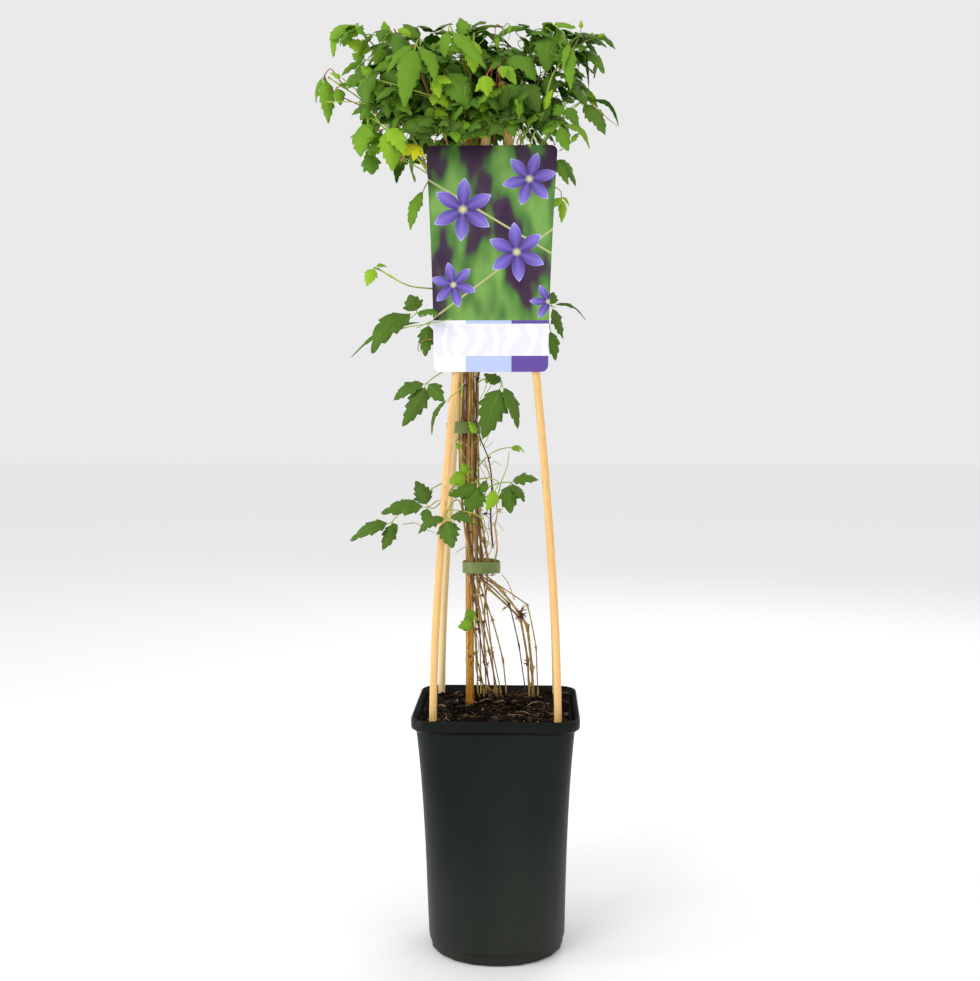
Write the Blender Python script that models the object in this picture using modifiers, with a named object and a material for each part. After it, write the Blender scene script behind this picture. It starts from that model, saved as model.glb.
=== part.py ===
"""Clematis in a square climber's pot: woody stems tied to a cane inside four bent rods, with a card."""
import itertools
import math
import random

import bmesh
import bpy
from mathutils import Vector
from mathutils.bvhtree import BVHTree
from mathutils.kdtree import KDTree

# Lengths are in metres, unless a name or a comment says millimetres.
MM = 0.001
GAP = 0.0003

# The pot is a rounded square at its rim and nearly round at its base.
POT_HEIGHT = 0.226
POT_WALL = 0.0015
POT_FLOOR = 0.003
RIM_HALF = 0.075
RIM_HEIGHT = 0.0095
RIM_CHAMFER = 0.0035
BASE_HALF = 0.063
TOP_HALF = 0.0707
CORNER_TOP = 0.016
STEP_HEIGHT = 0.010
STEP_IN = 0.0015
CORNER_STEPS = 5
DRAIN_RADIUS = 0.005
DRAIN_REACH = 0.036
DRAINS = 4

SOIL_TOP = 0.2205
SOIL_ROUGH = 0.0016
HOLE_SIDES = 8

# Four rods stand in the corners and bend inward until their tops meet under one tie.
ROD_RADIUS = 0.0034
ROD_FOOT = 0.166
ROD_TOP = 0.790
ROD_SPREAD = 0.0556
ROD_CLOSED = 0.0037
ROD_BEND = 1.55
ROD_POINTS = 11

# The cane leans a little toward the front, so that it passes in front of one back rod.
CANE_X = -0.0262
CANE_Y = 0.0200
CANE_LEAN = -0.0364
CANE_RADIUS = 0.0040
CANE_FOOT = 0.120
CANE_TOP = 0.776

TIE_THICKNESS = 0.0011
TIE_HEIGHT = 0.0105
TIE_SIDES = 16
TIES = (
    # name, centre x and y, half width, half depth, height of its lower edge
    ("tie_lower", (-0.0150, 0.0118), 0.0178, 0.0174, 0.3465),
    ("tie_upper", (-0.0312, 0.0106), 0.0158, 0.0145, 0.4755),
    ("tie_top", (0.0, 0.0), 0.0146, 0.0146, 0.768),
)

CARD_TOP = (0.728, 0.111)
CARD_BOTTOM = (0.531, 0.101)
CARD_X = -0.0045
CARD_THICKNESS = 0.0008
CARD_CORNER = 0.006
CARD_STANDOFF = 0.0016
TONGUE_HEIGHT = 0.009
TONGUE_RUN = 0.0052
TONGUE_DEPTH = 0.0088
TONGUE_LEVEL = 0.600

STEM_RADIUS = 0.00115
STEM_TIP_RADIUS = 0.0007
PETIOLE_RADIUS = 0.0006
HUB_RADIUS = 0.0009
BLADE_THICKNESS = 0.0007
ROOM = 0.0005

# The point from which the leaves were laid out, and to and from which they slide to clear.
EYE = Vector((0.033, -1.200, 0.507))

random_source = random.Random(41)


# Small helpers for points and meshes

def seen(x, z, depth):
    """A point in mm on the plane y = 0 as the eye sees it, slid along the sight line to a depth in mm."""
    flat = Vector((x, 0.0, z)) * MM
    share = (depth * MM - EYE.y) / (flat.y - EYE.y)
    return EYE + (flat - EYE) * share


def smooth_path(points, steps):
    """Points of a Catmull-Rom curve through the given ones, with equal steps between each pair."""
    ends = [points[0] * 2 - points[1]] + list(points) + [points[-1] * 2 - points[-2]]
    path = []
    for start in range(len(points) - 1):
        before, here, there, after = ends[start:start + 4]
        for step in range(steps):
            t = step / steps
            path.append(0.5 * (here * 2 + (there - before) * t
                               + (before * 2 - here * 5 + there * 4 - after) * t * t
                               + (here * 3 - before - there * 3 + after) * t ** 3))
    path.append(points[-1].copy())
    return path


def material(name, colour, roughness, metallic=0.0):
    """A plain finish."""
    finish = bpy.data.materials.new(name)
    finish.use_nodes = True
    shader = finish.node_tree.nodes["Principled BSDF"]
    shader.inputs["Base Color"].default_value = (*colour, 1.0)
    shader.inputs["Roughness"].default_value = roughness
    shader.inputs["Metallic"].default_value = metallic
    return finish


def keep(mesh_builder, name, finish, collection):
    """Turn a bmesh into a named object in a collection."""
    mesh = bpy.data.meshes.new(name)
    mesh_builder.to_mesh(mesh)
    mesh_builder.free()
    part = bpy.data.objects.new(name, mesh)
    collection.objects.link(part)
    if finish:
        mesh.materials.append(finish)
    return part


def as_mesh(part, collection, weld_reach=0.00001):
    """Replace an object with the mesh that its modifiers or its bevel give, closed and welded."""
    bpy.context.view_layer.update()
    view = part.evaluated_get(bpy.context.evaluated_depsgraph_get())
    mesh = bpy.data.meshes.new_from_object(view)
    weld = bmesh.new()
    weld.from_mesh(mesh)
    bmesh.ops.remove_doubles(weld, verts=weld.verts, dist=weld_reach)
    bmesh.ops.recalc_face_normals(weld, faces=weld.faces)
    weld.to_mesh(mesh)
    weld.free()
    name = part.name
    place = part.matrix_world.copy()
    bpy.data.objects.remove(part)
    solid = bpy.data.objects.new(name, mesh)
    solid.matrix_world = place
    collection.objects.link(solid)
    return solid


def tube(name, points, radius, end_radius, bevel_resolution, finish, collection):
    """A round stem along the points, tapering from one radius to another."""
    curve = bpy.data.curves.new(name, "CURVE")
    curve.dimensions = "3D"
    curve.bevel_depth = radius
    curve.bevel_resolution = bevel_resolution
    curve.use_fill_caps = True
    spline = curve.splines.new("POLY")
    spline.points.add(len(points) - 1)
    for index, point in enumerate(points):
        share = index / (len(points) - 1)
        spline.points[index].co = (*point, 1.0)
        spline.points[index].radius = 1.0 + (end_radius / radius - 1.0) * share
    part = bpy.data.objects.new(name, curve)
    collection.objects.link(part)
    if finish:
        curve.materials.append(finish)
    return as_mesh(part, collection)


def cut(part, cutter_objects, cutters):
    """Take cutters out of a part, and keep them hidden in their own collection."""
    for cutter in cutter_objects:
        cutter.hide_render = True
        cutter.display_type = "WIRE"
        if cutter.name not in cutters.objects:
            cutters.objects.link(cutter)
        bite = part.modifiers.new("cut_" + cutter.name, "BOOLEAN")
        bite.operation = "DIFFERENCE"
        bite.object = cutter


def prism(name, radius, low, high, place, sides, collection):
    """An upright round peg."""
    shape = bmesh.new()
    bmesh.ops.create_cone(shape, cap_ends=True, segments=sides, radius1=radius, radius2=radius,
                          depth=high - low)
    bmesh.ops.translate(shape, verts=shape.verts, vec=(place[0], place[1], (low + high) / 2))
    return keep(shape, name, None, collection)


# Pot and soil

def rounded_square(half, corner):
    """Outline points of a square with round corners, counted round from the right side."""
    points = []
    for quarter in range(4):
        turn = quarter * math.pi / 2
        sign_x = 1 if quarter in (0, 3) else -1
        sign_y = 1 if quarter in (0, 1) else -1
        for step in range(CORNER_STEPS + 1):
            angle = turn + step / CORNER_STEPS * math.pi / 2
            points.append(Vector((sign_x * (half - corner) + corner * math.cos(angle),
                                  sign_y * (half - corner) + corner * math.sin(angle))))
    return points


def pot_half(z):
    """Half the outer width of the pot's body at a height."""
    share = z / (POT_HEIGHT - RIM_HEIGHT)
    return BASE_HALF + (TOP_HALF - BASE_HALF) * (0.25 * share + 0.75 * share ** 3)


def pot_corner(z, half):
    """Corner radius, round at the base and small at the rim."""
    share = min(1.0, z / (POT_HEIGHT - RIM_HEIGHT))
    return half * 0.97 + (CORNER_TOP - half * 0.97) * share ** 0.6


def ring(shape, z, half, corner):
    return [shape.verts.new((point.x, point.y, z)) for point in rounded_square(half, corner)]


def loft(shape, rings):
    """Bridge the rings in turn, and close the first and the last."""
    count = len(rings[0])
    for low, high in zip(rings, rings[1:]):
        for index in range(count):
            after = (index + 1) % count
            shape.faces.new((low[index], low[after], high[after], high[index]))
    for end in (rings[0], rings[-1]):
        shape.faces.new(end)
    bmesh.ops.triangulate(shape, faces=[face for face in shape.faces if len(face.verts) > 4])
    bmesh.ops.recalc_face_normals(shape, faces=shape.faces)


def make_pot(finish, collection, cutters):
    shape = bmesh.new()
    band_low = POT_HEIGHT - RIM_HEIGHT
    rings = [ring(shape, 0.0, BASE_HALF - STEP_IN, pot_corner(0.0, BASE_HALF - STEP_IN)),
             ring(shape, STEP_HEIGHT, BASE_HALF - STEP_IN, pot_corner(STEP_HEIGHT, BASE_HALF - STEP_IN))]
    for z in (STEP_HEIGHT + STEP_IN, 0.060, 0.110, 0.155, 0.190, band_low - RIM_CHAMFER):
        rings.append(ring(shape, z, pot_half(z), pot_corner(z, pot_half(z))))
    rings.append(ring(shape, band_low, RIM_HALF, CORNER_TOP + RIM_CHAMFER))
    rings.append(ring(shape, POT_HEIGHT, RIM_HALF, CORNER_TOP + RIM_CHAMFER))
    mouth = RIM_HALF - POT_WALL
    rings.append(ring(shape, POT_HEIGHT, mouth, CORNER_TOP + RIM_CHAMFER - POT_WALL))
    rings.append(ring(shape, band_low, pot_half(band_low) - POT_WALL, CORNER_TOP))
    for z in (0.190, 0.155, 0.110, 0.060, POT_FLOOR):
        inner = pot_half(z) - POT_WALL - (STEP_IN if z < STEP_HEIGHT else 0.0)
        rings.append(ring(shape, z, inner, pot_corner(z, inner)))
    loft(shape, rings)
    pot = keep(shape, "pot", finish, collection)
    pegs = []
    for index in range(DRAINS):
        angle = math.pi / DRAINS + index * math.tau / DRAINS
        place = (DRAIN_REACH * math.cos(angle), DRAIN_REACH * math.sin(angle))
        pegs.append(prism(f"drain_{index}", DRAIN_RADIUS, -0.005, POT_FLOOR + 0.005, place, 10, cutters))
    cut(pot, pegs, cutters)
    return pot


def make_soil(finish, collection, cutters, holes):
    """Peat that fills the pot, with a rough top and a plain hole for each thing that stands in it."""
    shape = bmesh.new()
    rings = []
    for z in (POT_FLOOR + GAP, 0.060, 0.110, 0.155, 0.190, 0.205):
        inner = pot_half(z) - POT_WALL - GAP * 2 - (STEP_IN if z < STEP_HEIGHT else 0.0)
        rings.append(ring(shape, z, inner, pot_corner(z, inner)))
    inner = pot_half(SOIL_TOP) - POT_WALL - GAP * 2 - 0.0006
    rim = ring(shape, SOIL_TOP - 0.002, inner, CORNER_TOP)
    rings.append(rim)
    loft(shape, rings)
    cap = [face for face in shape.faces if all(vert in rim for vert in face.verts)]
    bmesh.ops.delete(shape, geom=cap, context="FACES_ONLY")
    draw = random.Random(7)
    hub = shape.verts.new((0.0, 0.0, SOIL_TOP))
    previous = rim
    count = len(rim)
    for share in (0.78, 0.55, 0.30):
        inner_ring = []
        for vert in rim:
            lift = draw.uniform(-SOIL_ROUGH, SOIL_ROUGH)
            inner_ring.append(shape.verts.new((vert.co.x * share, vert.co.y * share, SOIL_TOP + lift)))
        for index in range(count):
            after = (index + 1) % count
            corners = (previous[index], previous[after], inner_ring[after], inner_ring[index])
            shape.faces.new(corners)
        previous = inner_ring
    for index in range(count):
        shape.faces.new((previous[index], previous[(index + 1) % count], hub))
    bmesh.ops.triangulate(shape, faces=shape.faces)
    bmesh.ops.recalc_face_normals(shape, faces=shape.faces)
    soil = keep(shape, "soil", finish, collection)
    pegs = [prism(f"hole_{index}", radius, foot, SOIL_TOP + 0.02, (place.x, place.y), HOLE_SIDES, cutters)
            for index, (place, radius, foot) in enumerate(holes)]
    cut(soil, pegs, cutters)
    return soil


# Rods, cane, ties and card

def rod_reach(z):
    """Distance of a rod's axis from the middle planes at a height."""
    share = min(1.0, max(0.0, (z - SOIL_TOP) / (ROD_TOP - SOIL_TOP)))
    return ROD_SPREAD + (ROD_CLOSED - ROD_SPREAD) * share ** ROD_BEND


def rod_points(sign_x, sign_y):
    heights = [ROD_FOOT, SOIL_TOP - 0.004]
    climb = ROD_TOP - SOIL_TOP
    heights += [SOIL_TOP + climb * (step / (ROD_POINTS - 2)) for step in range(1, ROD_POINTS - 1)]
    return [Vector((sign_x * rod_reach(z), sign_y * rod_reach(z), z)) for z in heights]


def make_band(name, centre, half_x, half_y, low, finish, collection):
    """A closed oval strap, turned round its own upright axis."""
    shape = bmesh.new()
    rings = []
    for height, inset in ((low, 0.0), (low + TIE_HEIGHT, 0.0), (low + TIE_HEIGHT, TIE_THICKNESS),
                          (low, TIE_THICKNESS)):
        rings.append([shape.verts.new((centre[0] + (half_x - inset) * math.cos(angle),
                                       centre[1] + (half_y - inset) * math.sin(angle), height))
                      for angle in [index * math.tau / TIE_SIDES for index in range(TIE_SIDES)]])
    for here, there in zip(rings, rings[1:] + rings[:1]):
        for index in range(TIE_SIDES):
            after = (index + 1) % TIE_SIDES
            shape.faces.new((here[index], here[after], there[after], there[index]))
    bmesh.ops.recalc_face_normals(shape, faces=shape.faces)
    return keep(shape, name, finish, collection)


def card_plane(z):
    """Back face of the card at a height: it leans on the front rods, bowed between its two ends."""
    top, bottom = CARD_TOP[0], CARD_BOTTOM[0]
    high = -rod_reach(top) - ROD_RADIUS - CARD_STANDOFF
    low = -rod_reach(bottom) - ROD_RADIUS - CARD_STANDOFF
    return low + (high - low) * (z - bottom) / (top - bottom)


def card_outline():
    """Corner points of the tapered card, with round corners, as x and height."""
    corners = ((CARD_X - CARD_BOTTOM[1] / 2, CARD_BOTTOM[0]), (CARD_X + CARD_BOTTOM[1] / 2, CARD_BOTTOM[0]),
               (CARD_X + CARD_TOP[1] / 2, CARD_TOP[0]), (CARD_X - CARD_TOP[1] / 2, CARD_TOP[0]))
    outline = []
    for index, (x, z) in enumerate(corners):
        toward_x = -1 if index in (1, 2) else 1
        toward_z = 1 if index < 2 else -1
        middle = (x + toward_x * CARD_CORNER, z + toward_z * CARD_CORNER)
        start = (math.pi, 1.5 * math.pi, 0.0, 0.5 * math.pi)[index]
        for step in range(4):
            angle = start + step / 3 * math.pi / 2
            outline.append((middle[0] + CARD_CORNER * math.cos(angle),
                            middle[1] + CARD_CORNER * math.sin(angle)))
    return outline


def make_card(finish, collection):
    """The card, with a tongue punched from it and folded back round each front rod."""
    shape = bmesh.new()
    front = [shape.verts.new((x, card_plane(z) - CARD_THICKNESS, z)) for x, z in card_outline()]
    face = shape.faces.new(front)
    swept = bmesh.ops.extrude_face_region(shape, geom=[face], use_keep_orig=True)
    moved = [item for item in swept["geom"] if isinstance(item, bmesh.types.BMVert)]
    bmesh.ops.translate(shape, verts=moved, vec=(0.0, CARD_THICKNESS, 0.0))
    bmesh.ops.recalc_face_normals(shape, faces=shape.faces)
    card = keep(shape, "label_card", finish, collection)
    loops = bpy.data.collections.new("tongues")
    bpy.context.scene.collection.children.link(loops)
    for side in (-1, 1):
        z = TONGUE_LEVEL
        middle = side * rod_reach(z)
        back = card_plane(z) - CARD_THICKNESS / 2
        route = [(middle - TONGUE_RUN, back), (middle - TONGUE_RUN, back + TONGUE_DEPTH * 0.7),
                 (middle - TONGUE_RUN * 0.5, back + TONGUE_DEPTH + 0.0012),
                 (middle + TONGUE_RUN * 0.5, back + TONGUE_DEPTH + 0.0012),
                 (middle + TONGUE_RUN, back + TONGUE_DEPTH * 0.7), (middle + TONGUE_RUN, back)]
        strap = bmesh.new()
        low = [strap.verts.new((x, y, z - TONGUE_HEIGHT / 2)) for x, y in route]
        edges = [strap.edges.new(pair) for pair in zip(low, low[1:])]
        raised = bmesh.ops.extrude_edge_only(strap, edges=edges)
        high = [item for item in raised["geom"] if isinstance(item, bmesh.types.BMVert)]
        bmesh.ops.translate(strap, verts=high, vec=(0.0, 0.0, TONGUE_HEIGHT))
        loop = keep(strap, f"tongue_{side + 1}", None, loops)
        wall = loop.modifiers.new("wall", "SOLIDIFY")
        wall.thickness = CARD_THICKNESS
        wall.offset = 0.0
        as_mesh(loop, loops)
    return fuse(card, loops, collection)


def fuse(base, extras, collection):
    """Join a collection's solids to a base by one union, and remove them."""
    join = base.modifiers.new("join", "BOOLEAN")
    join.operation = "UNION"
    join.operand_type = "COLLECTION"
    join.collection = extras
    joined = as_mesh(base, collection, weld_reach=0.0000001)
    for part in list(extras.objects):
        bpy.data.objects.remove(part)
    bpy.data.collections.remove(extras)
    return joined


# Stems. Each runs from its own hole, through its slot in the lower tie and round the cane, in one
# order all the way, and then out to its own part of the bush. Angles are in degrees about the cane,
# 0 to the right and 90 to the back; free points are x, depth and height in mm.
ROOT_DEPTH = 0.192
TIE_LEVEL = 0.3515
SLOT_FIRST = -96.0
SLOT_SWEEP = 128.0
SLOT_REACH = (0.0074, 0.0122, 0.0170)
BUNDLE_REACH = (0.0064, 0.0087)
BUNDLE_LOW = 0.425
BUNDLE_TWIST = 30.0
STEM_ROOM = 0.0015
STEM_SPACING = 0.003
STEM_STRIDE = 7
ROOT_POINTS = 11
SETTLE_ROUNDS = 60

STEMS = (
    # name, root x and y, point under the tie, angle in the bundle, height it leaves at, free points
    ("low_left", (-9, 47), (-16, 14, 300), -172, 640,
     ((-44, 0, 690), (-72, -22, 722), (-98, -32, 744), (-110, -32, 760))),
    ("spray_left", (-14, 43), (-20, 25, 262), -146, 560,
     ((-42, 6, 600), (-55, -8, 606), (-80, -18, 609), (-107, -20, 624))),
    ("mid_left", (-6, 43), (-15, 26, 270), -120, 680,
     ((-38, -2, 716), (-52, -24, 758), (-66, -36, 790), (-72, -42, 814))),
    ("centre", (-2, 47), (-9, 28, 272), -94, 690,
     ((-26, -4, 722), (-36, -22, 752), (-46, -34, 782))),
    ("top", (2, 50), (-6, 32, 270), -68, 700,
     ((-20, 2, 740), (-24, -10, 785), (-26, -14, 822))),
    ("spray_right", (26, 45), (12, 22, 312), -42, 520,
     ((-8, 4, 560), (6, 0, 600), (30, -8, 604), (47, -14, 590))),
    ("low_right", (30, 48), (21, 30, 300), -16, 640,
     ((2, 8, 680), (28, -2, 716), (52, -12, 748), (74, -14, 770))),
    ("right", (34, 45), (24, 22, 306), 10, 660,
     ((-6, 9, 688), (12, 5, 718), (28, -4, 752), (48, -16, 786), (66, -14, 814))),
    ("top_right", (38, 49), (30, 37, 308), 36, 668,
     ((-10, 2, 700), (8, -1, 735), (20, 4, 775), (32, 2, 812), (47, -6, 832))),
    ("back_right", (8, 54), (0, 38, 280), 62, 640,
     ((-10, 20, 668), (6, 38, 712), (24, 50, 752), (42, 52, 786))),
    ("back", (-4, 55), (-8, 40, 285), 88, 660,
     ((-24, 46, 720), (-22, 62, 770), (-26, 56, 812))),
    ("back_left", (-12, 53), (-14, 42, 285), 114, 640,
     ((-42, 42, 700), (-66, 52, 745), (-86, 48, 786))),
    ("top_left", (-17, 49), (-18, 40, 300), 140, 650,
     ((-50, 26, 712), (-76, 20, 764), (-100, 8, 812), (-124, 2, 838))),
    ("far_left", (-20, 56), (-22, 42, 300), 166, 640,
     ((-50, 10, 690), (-84, 2, 740), (-118, -6, 772), (-152, -4, 796))),
)


def cane_axis(z):
    return Vector((CANE_X, CANE_Y + CANE_LEAN * (z - SOIL_TOP), z))


def about_cane(reach, angle, z):
    turn = math.radians(angle)
    return cane_axis(z) + Vector((math.cos(turn), math.sin(turn), 0.0)) * reach


def stem_points(order, row):
    """Control points of one stem."""
    _, root, under, angle, leave, free = row
    slot_angle = SLOT_FIRST + SLOT_SWEEP * order / (len(STEMS) - 1)
    slot_reach = SLOT_REACH[order % 3]
    bundle_reach = BUNDLE_REACH[order % 2]
    foot = Vector((root[0] * MM, root[1] * MM, 0.0))
    lean = (Vector(under) * MM - foot) * 0.06
    points = [foot + Vector((0.0, 0.0, z)) for z in (ROOT_DEPTH, 0.206, SOIL_TOP + 0.003)]
    points.append(foot + Vector((lean.x, lean.y, SOIL_TOP + 0.013)))
    points += [Vector(under) * MM,
               about_cane(slot_reach, slot_angle, TIE_LEVEL - 0.010),
               about_cane(slot_reach, slot_angle, TIE_LEVEL + 0.010)]
    middle = (slot_angle + angle) / 2
    points.append(about_cane((slot_reach + bundle_reach) / 2, middle, (TIE_LEVEL + BUNDLE_LOW) / 2 + 0.004))
    climb = leave * MM - BUNDLE_LOW
    for share in (0.0, 0.5, 1.0):
        z = BUNDLE_LOW + climb * share
        points.append(about_cane(bundle_reach, angle + BUNDLE_TWIST * (z - BUNDLE_LOW) / 0.25, z))
    points += [Vector(point) * MM for point in free]
    return points


def even_path(points, spacing):
    """The same path with its points a fixed distance apart."""
    path = [points[0].copy()]
    carried = 0.0
    for here, there in zip(points, points[1:]):
        run = (there - here).length
        reach = spacing - carried
        while reach <= run:
            path.append(here.lerp(there, reach / run))
            reach += spacing
        carried = run - (reach - spacing)
    path.append(points[-1].copy())
    return path


def settle(stems, posts):
    """Push the stems apart, and off the posts, until each has its own room; the roots stay put."""
    post_tree = KDTree(len(posts))
    for index, (point, _) in enumerate(posts):
        post_tree.insert(point, index)
    post_tree.balance()
    widest = max(radius for _, radius in posts) + STEM_RADIUS + STEM_ROOM
    for _ in range(SETTLE_ROUNDS):
        tree = KDTree(sum(len(stem) for stem in stems.values()))
        owners = []
        for name, stem in stems.items():
            for point in stem:
                tree.insert(point, len(owners))
                owners.append(name)
        tree.balance()
        for name, stem in stems.items():
            pushes = [Vector() for _ in stem]
            for index, point in enumerate(stem):
                if point.z < SOIL_TOP + 0.004:
                    continue
                for other, found, distance in tree.find_range(point, STEM_RADIUS * 2 + STEM_ROOM):
                    if owners[found] != name and distance > 0:
                        lack = STEM_RADIUS * 2 + STEM_ROOM - distance
                        pushes[index] += (point - other) / distance * lack * 0.35
                for other, found, distance in post_tree.find_range(point, widest):
                    lack = posts[found][1] + STEM_RADIUS + STEM_ROOM - distance
                    if lack > 0 and distance > 0:
                        pushes[index] += (point - other) / distance * lack * 0.5
            for index in range(1, len(stem) - 1):
                if stem[index].z >= SOIL_TOP + 0.004:
                    stem[index] += pushes[index] * 0.5 + (pushes[index - 1] + pushes[index + 1]) * 0.25
    return stems


# Leaves. Each row is a petiole from a stem to a hub, and the leaflets on it. Places are in mm as the
# front view shows them, with a depth: hub x, z, depth, then for each leaflet its tip's x, z, depth,
# its width, how far it arches as a share of its length, and the way its upper side faces.
FRONT = (0.0, -1.0, 0.35)
SKY = (0.0, -0.25, 1.0)
LEFT = (-0.8, -0.5, 0.5)
RIGHT = (0.8, -0.5, 0.5)
REAR = (0.0, 1.0, 0.4)

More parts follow.
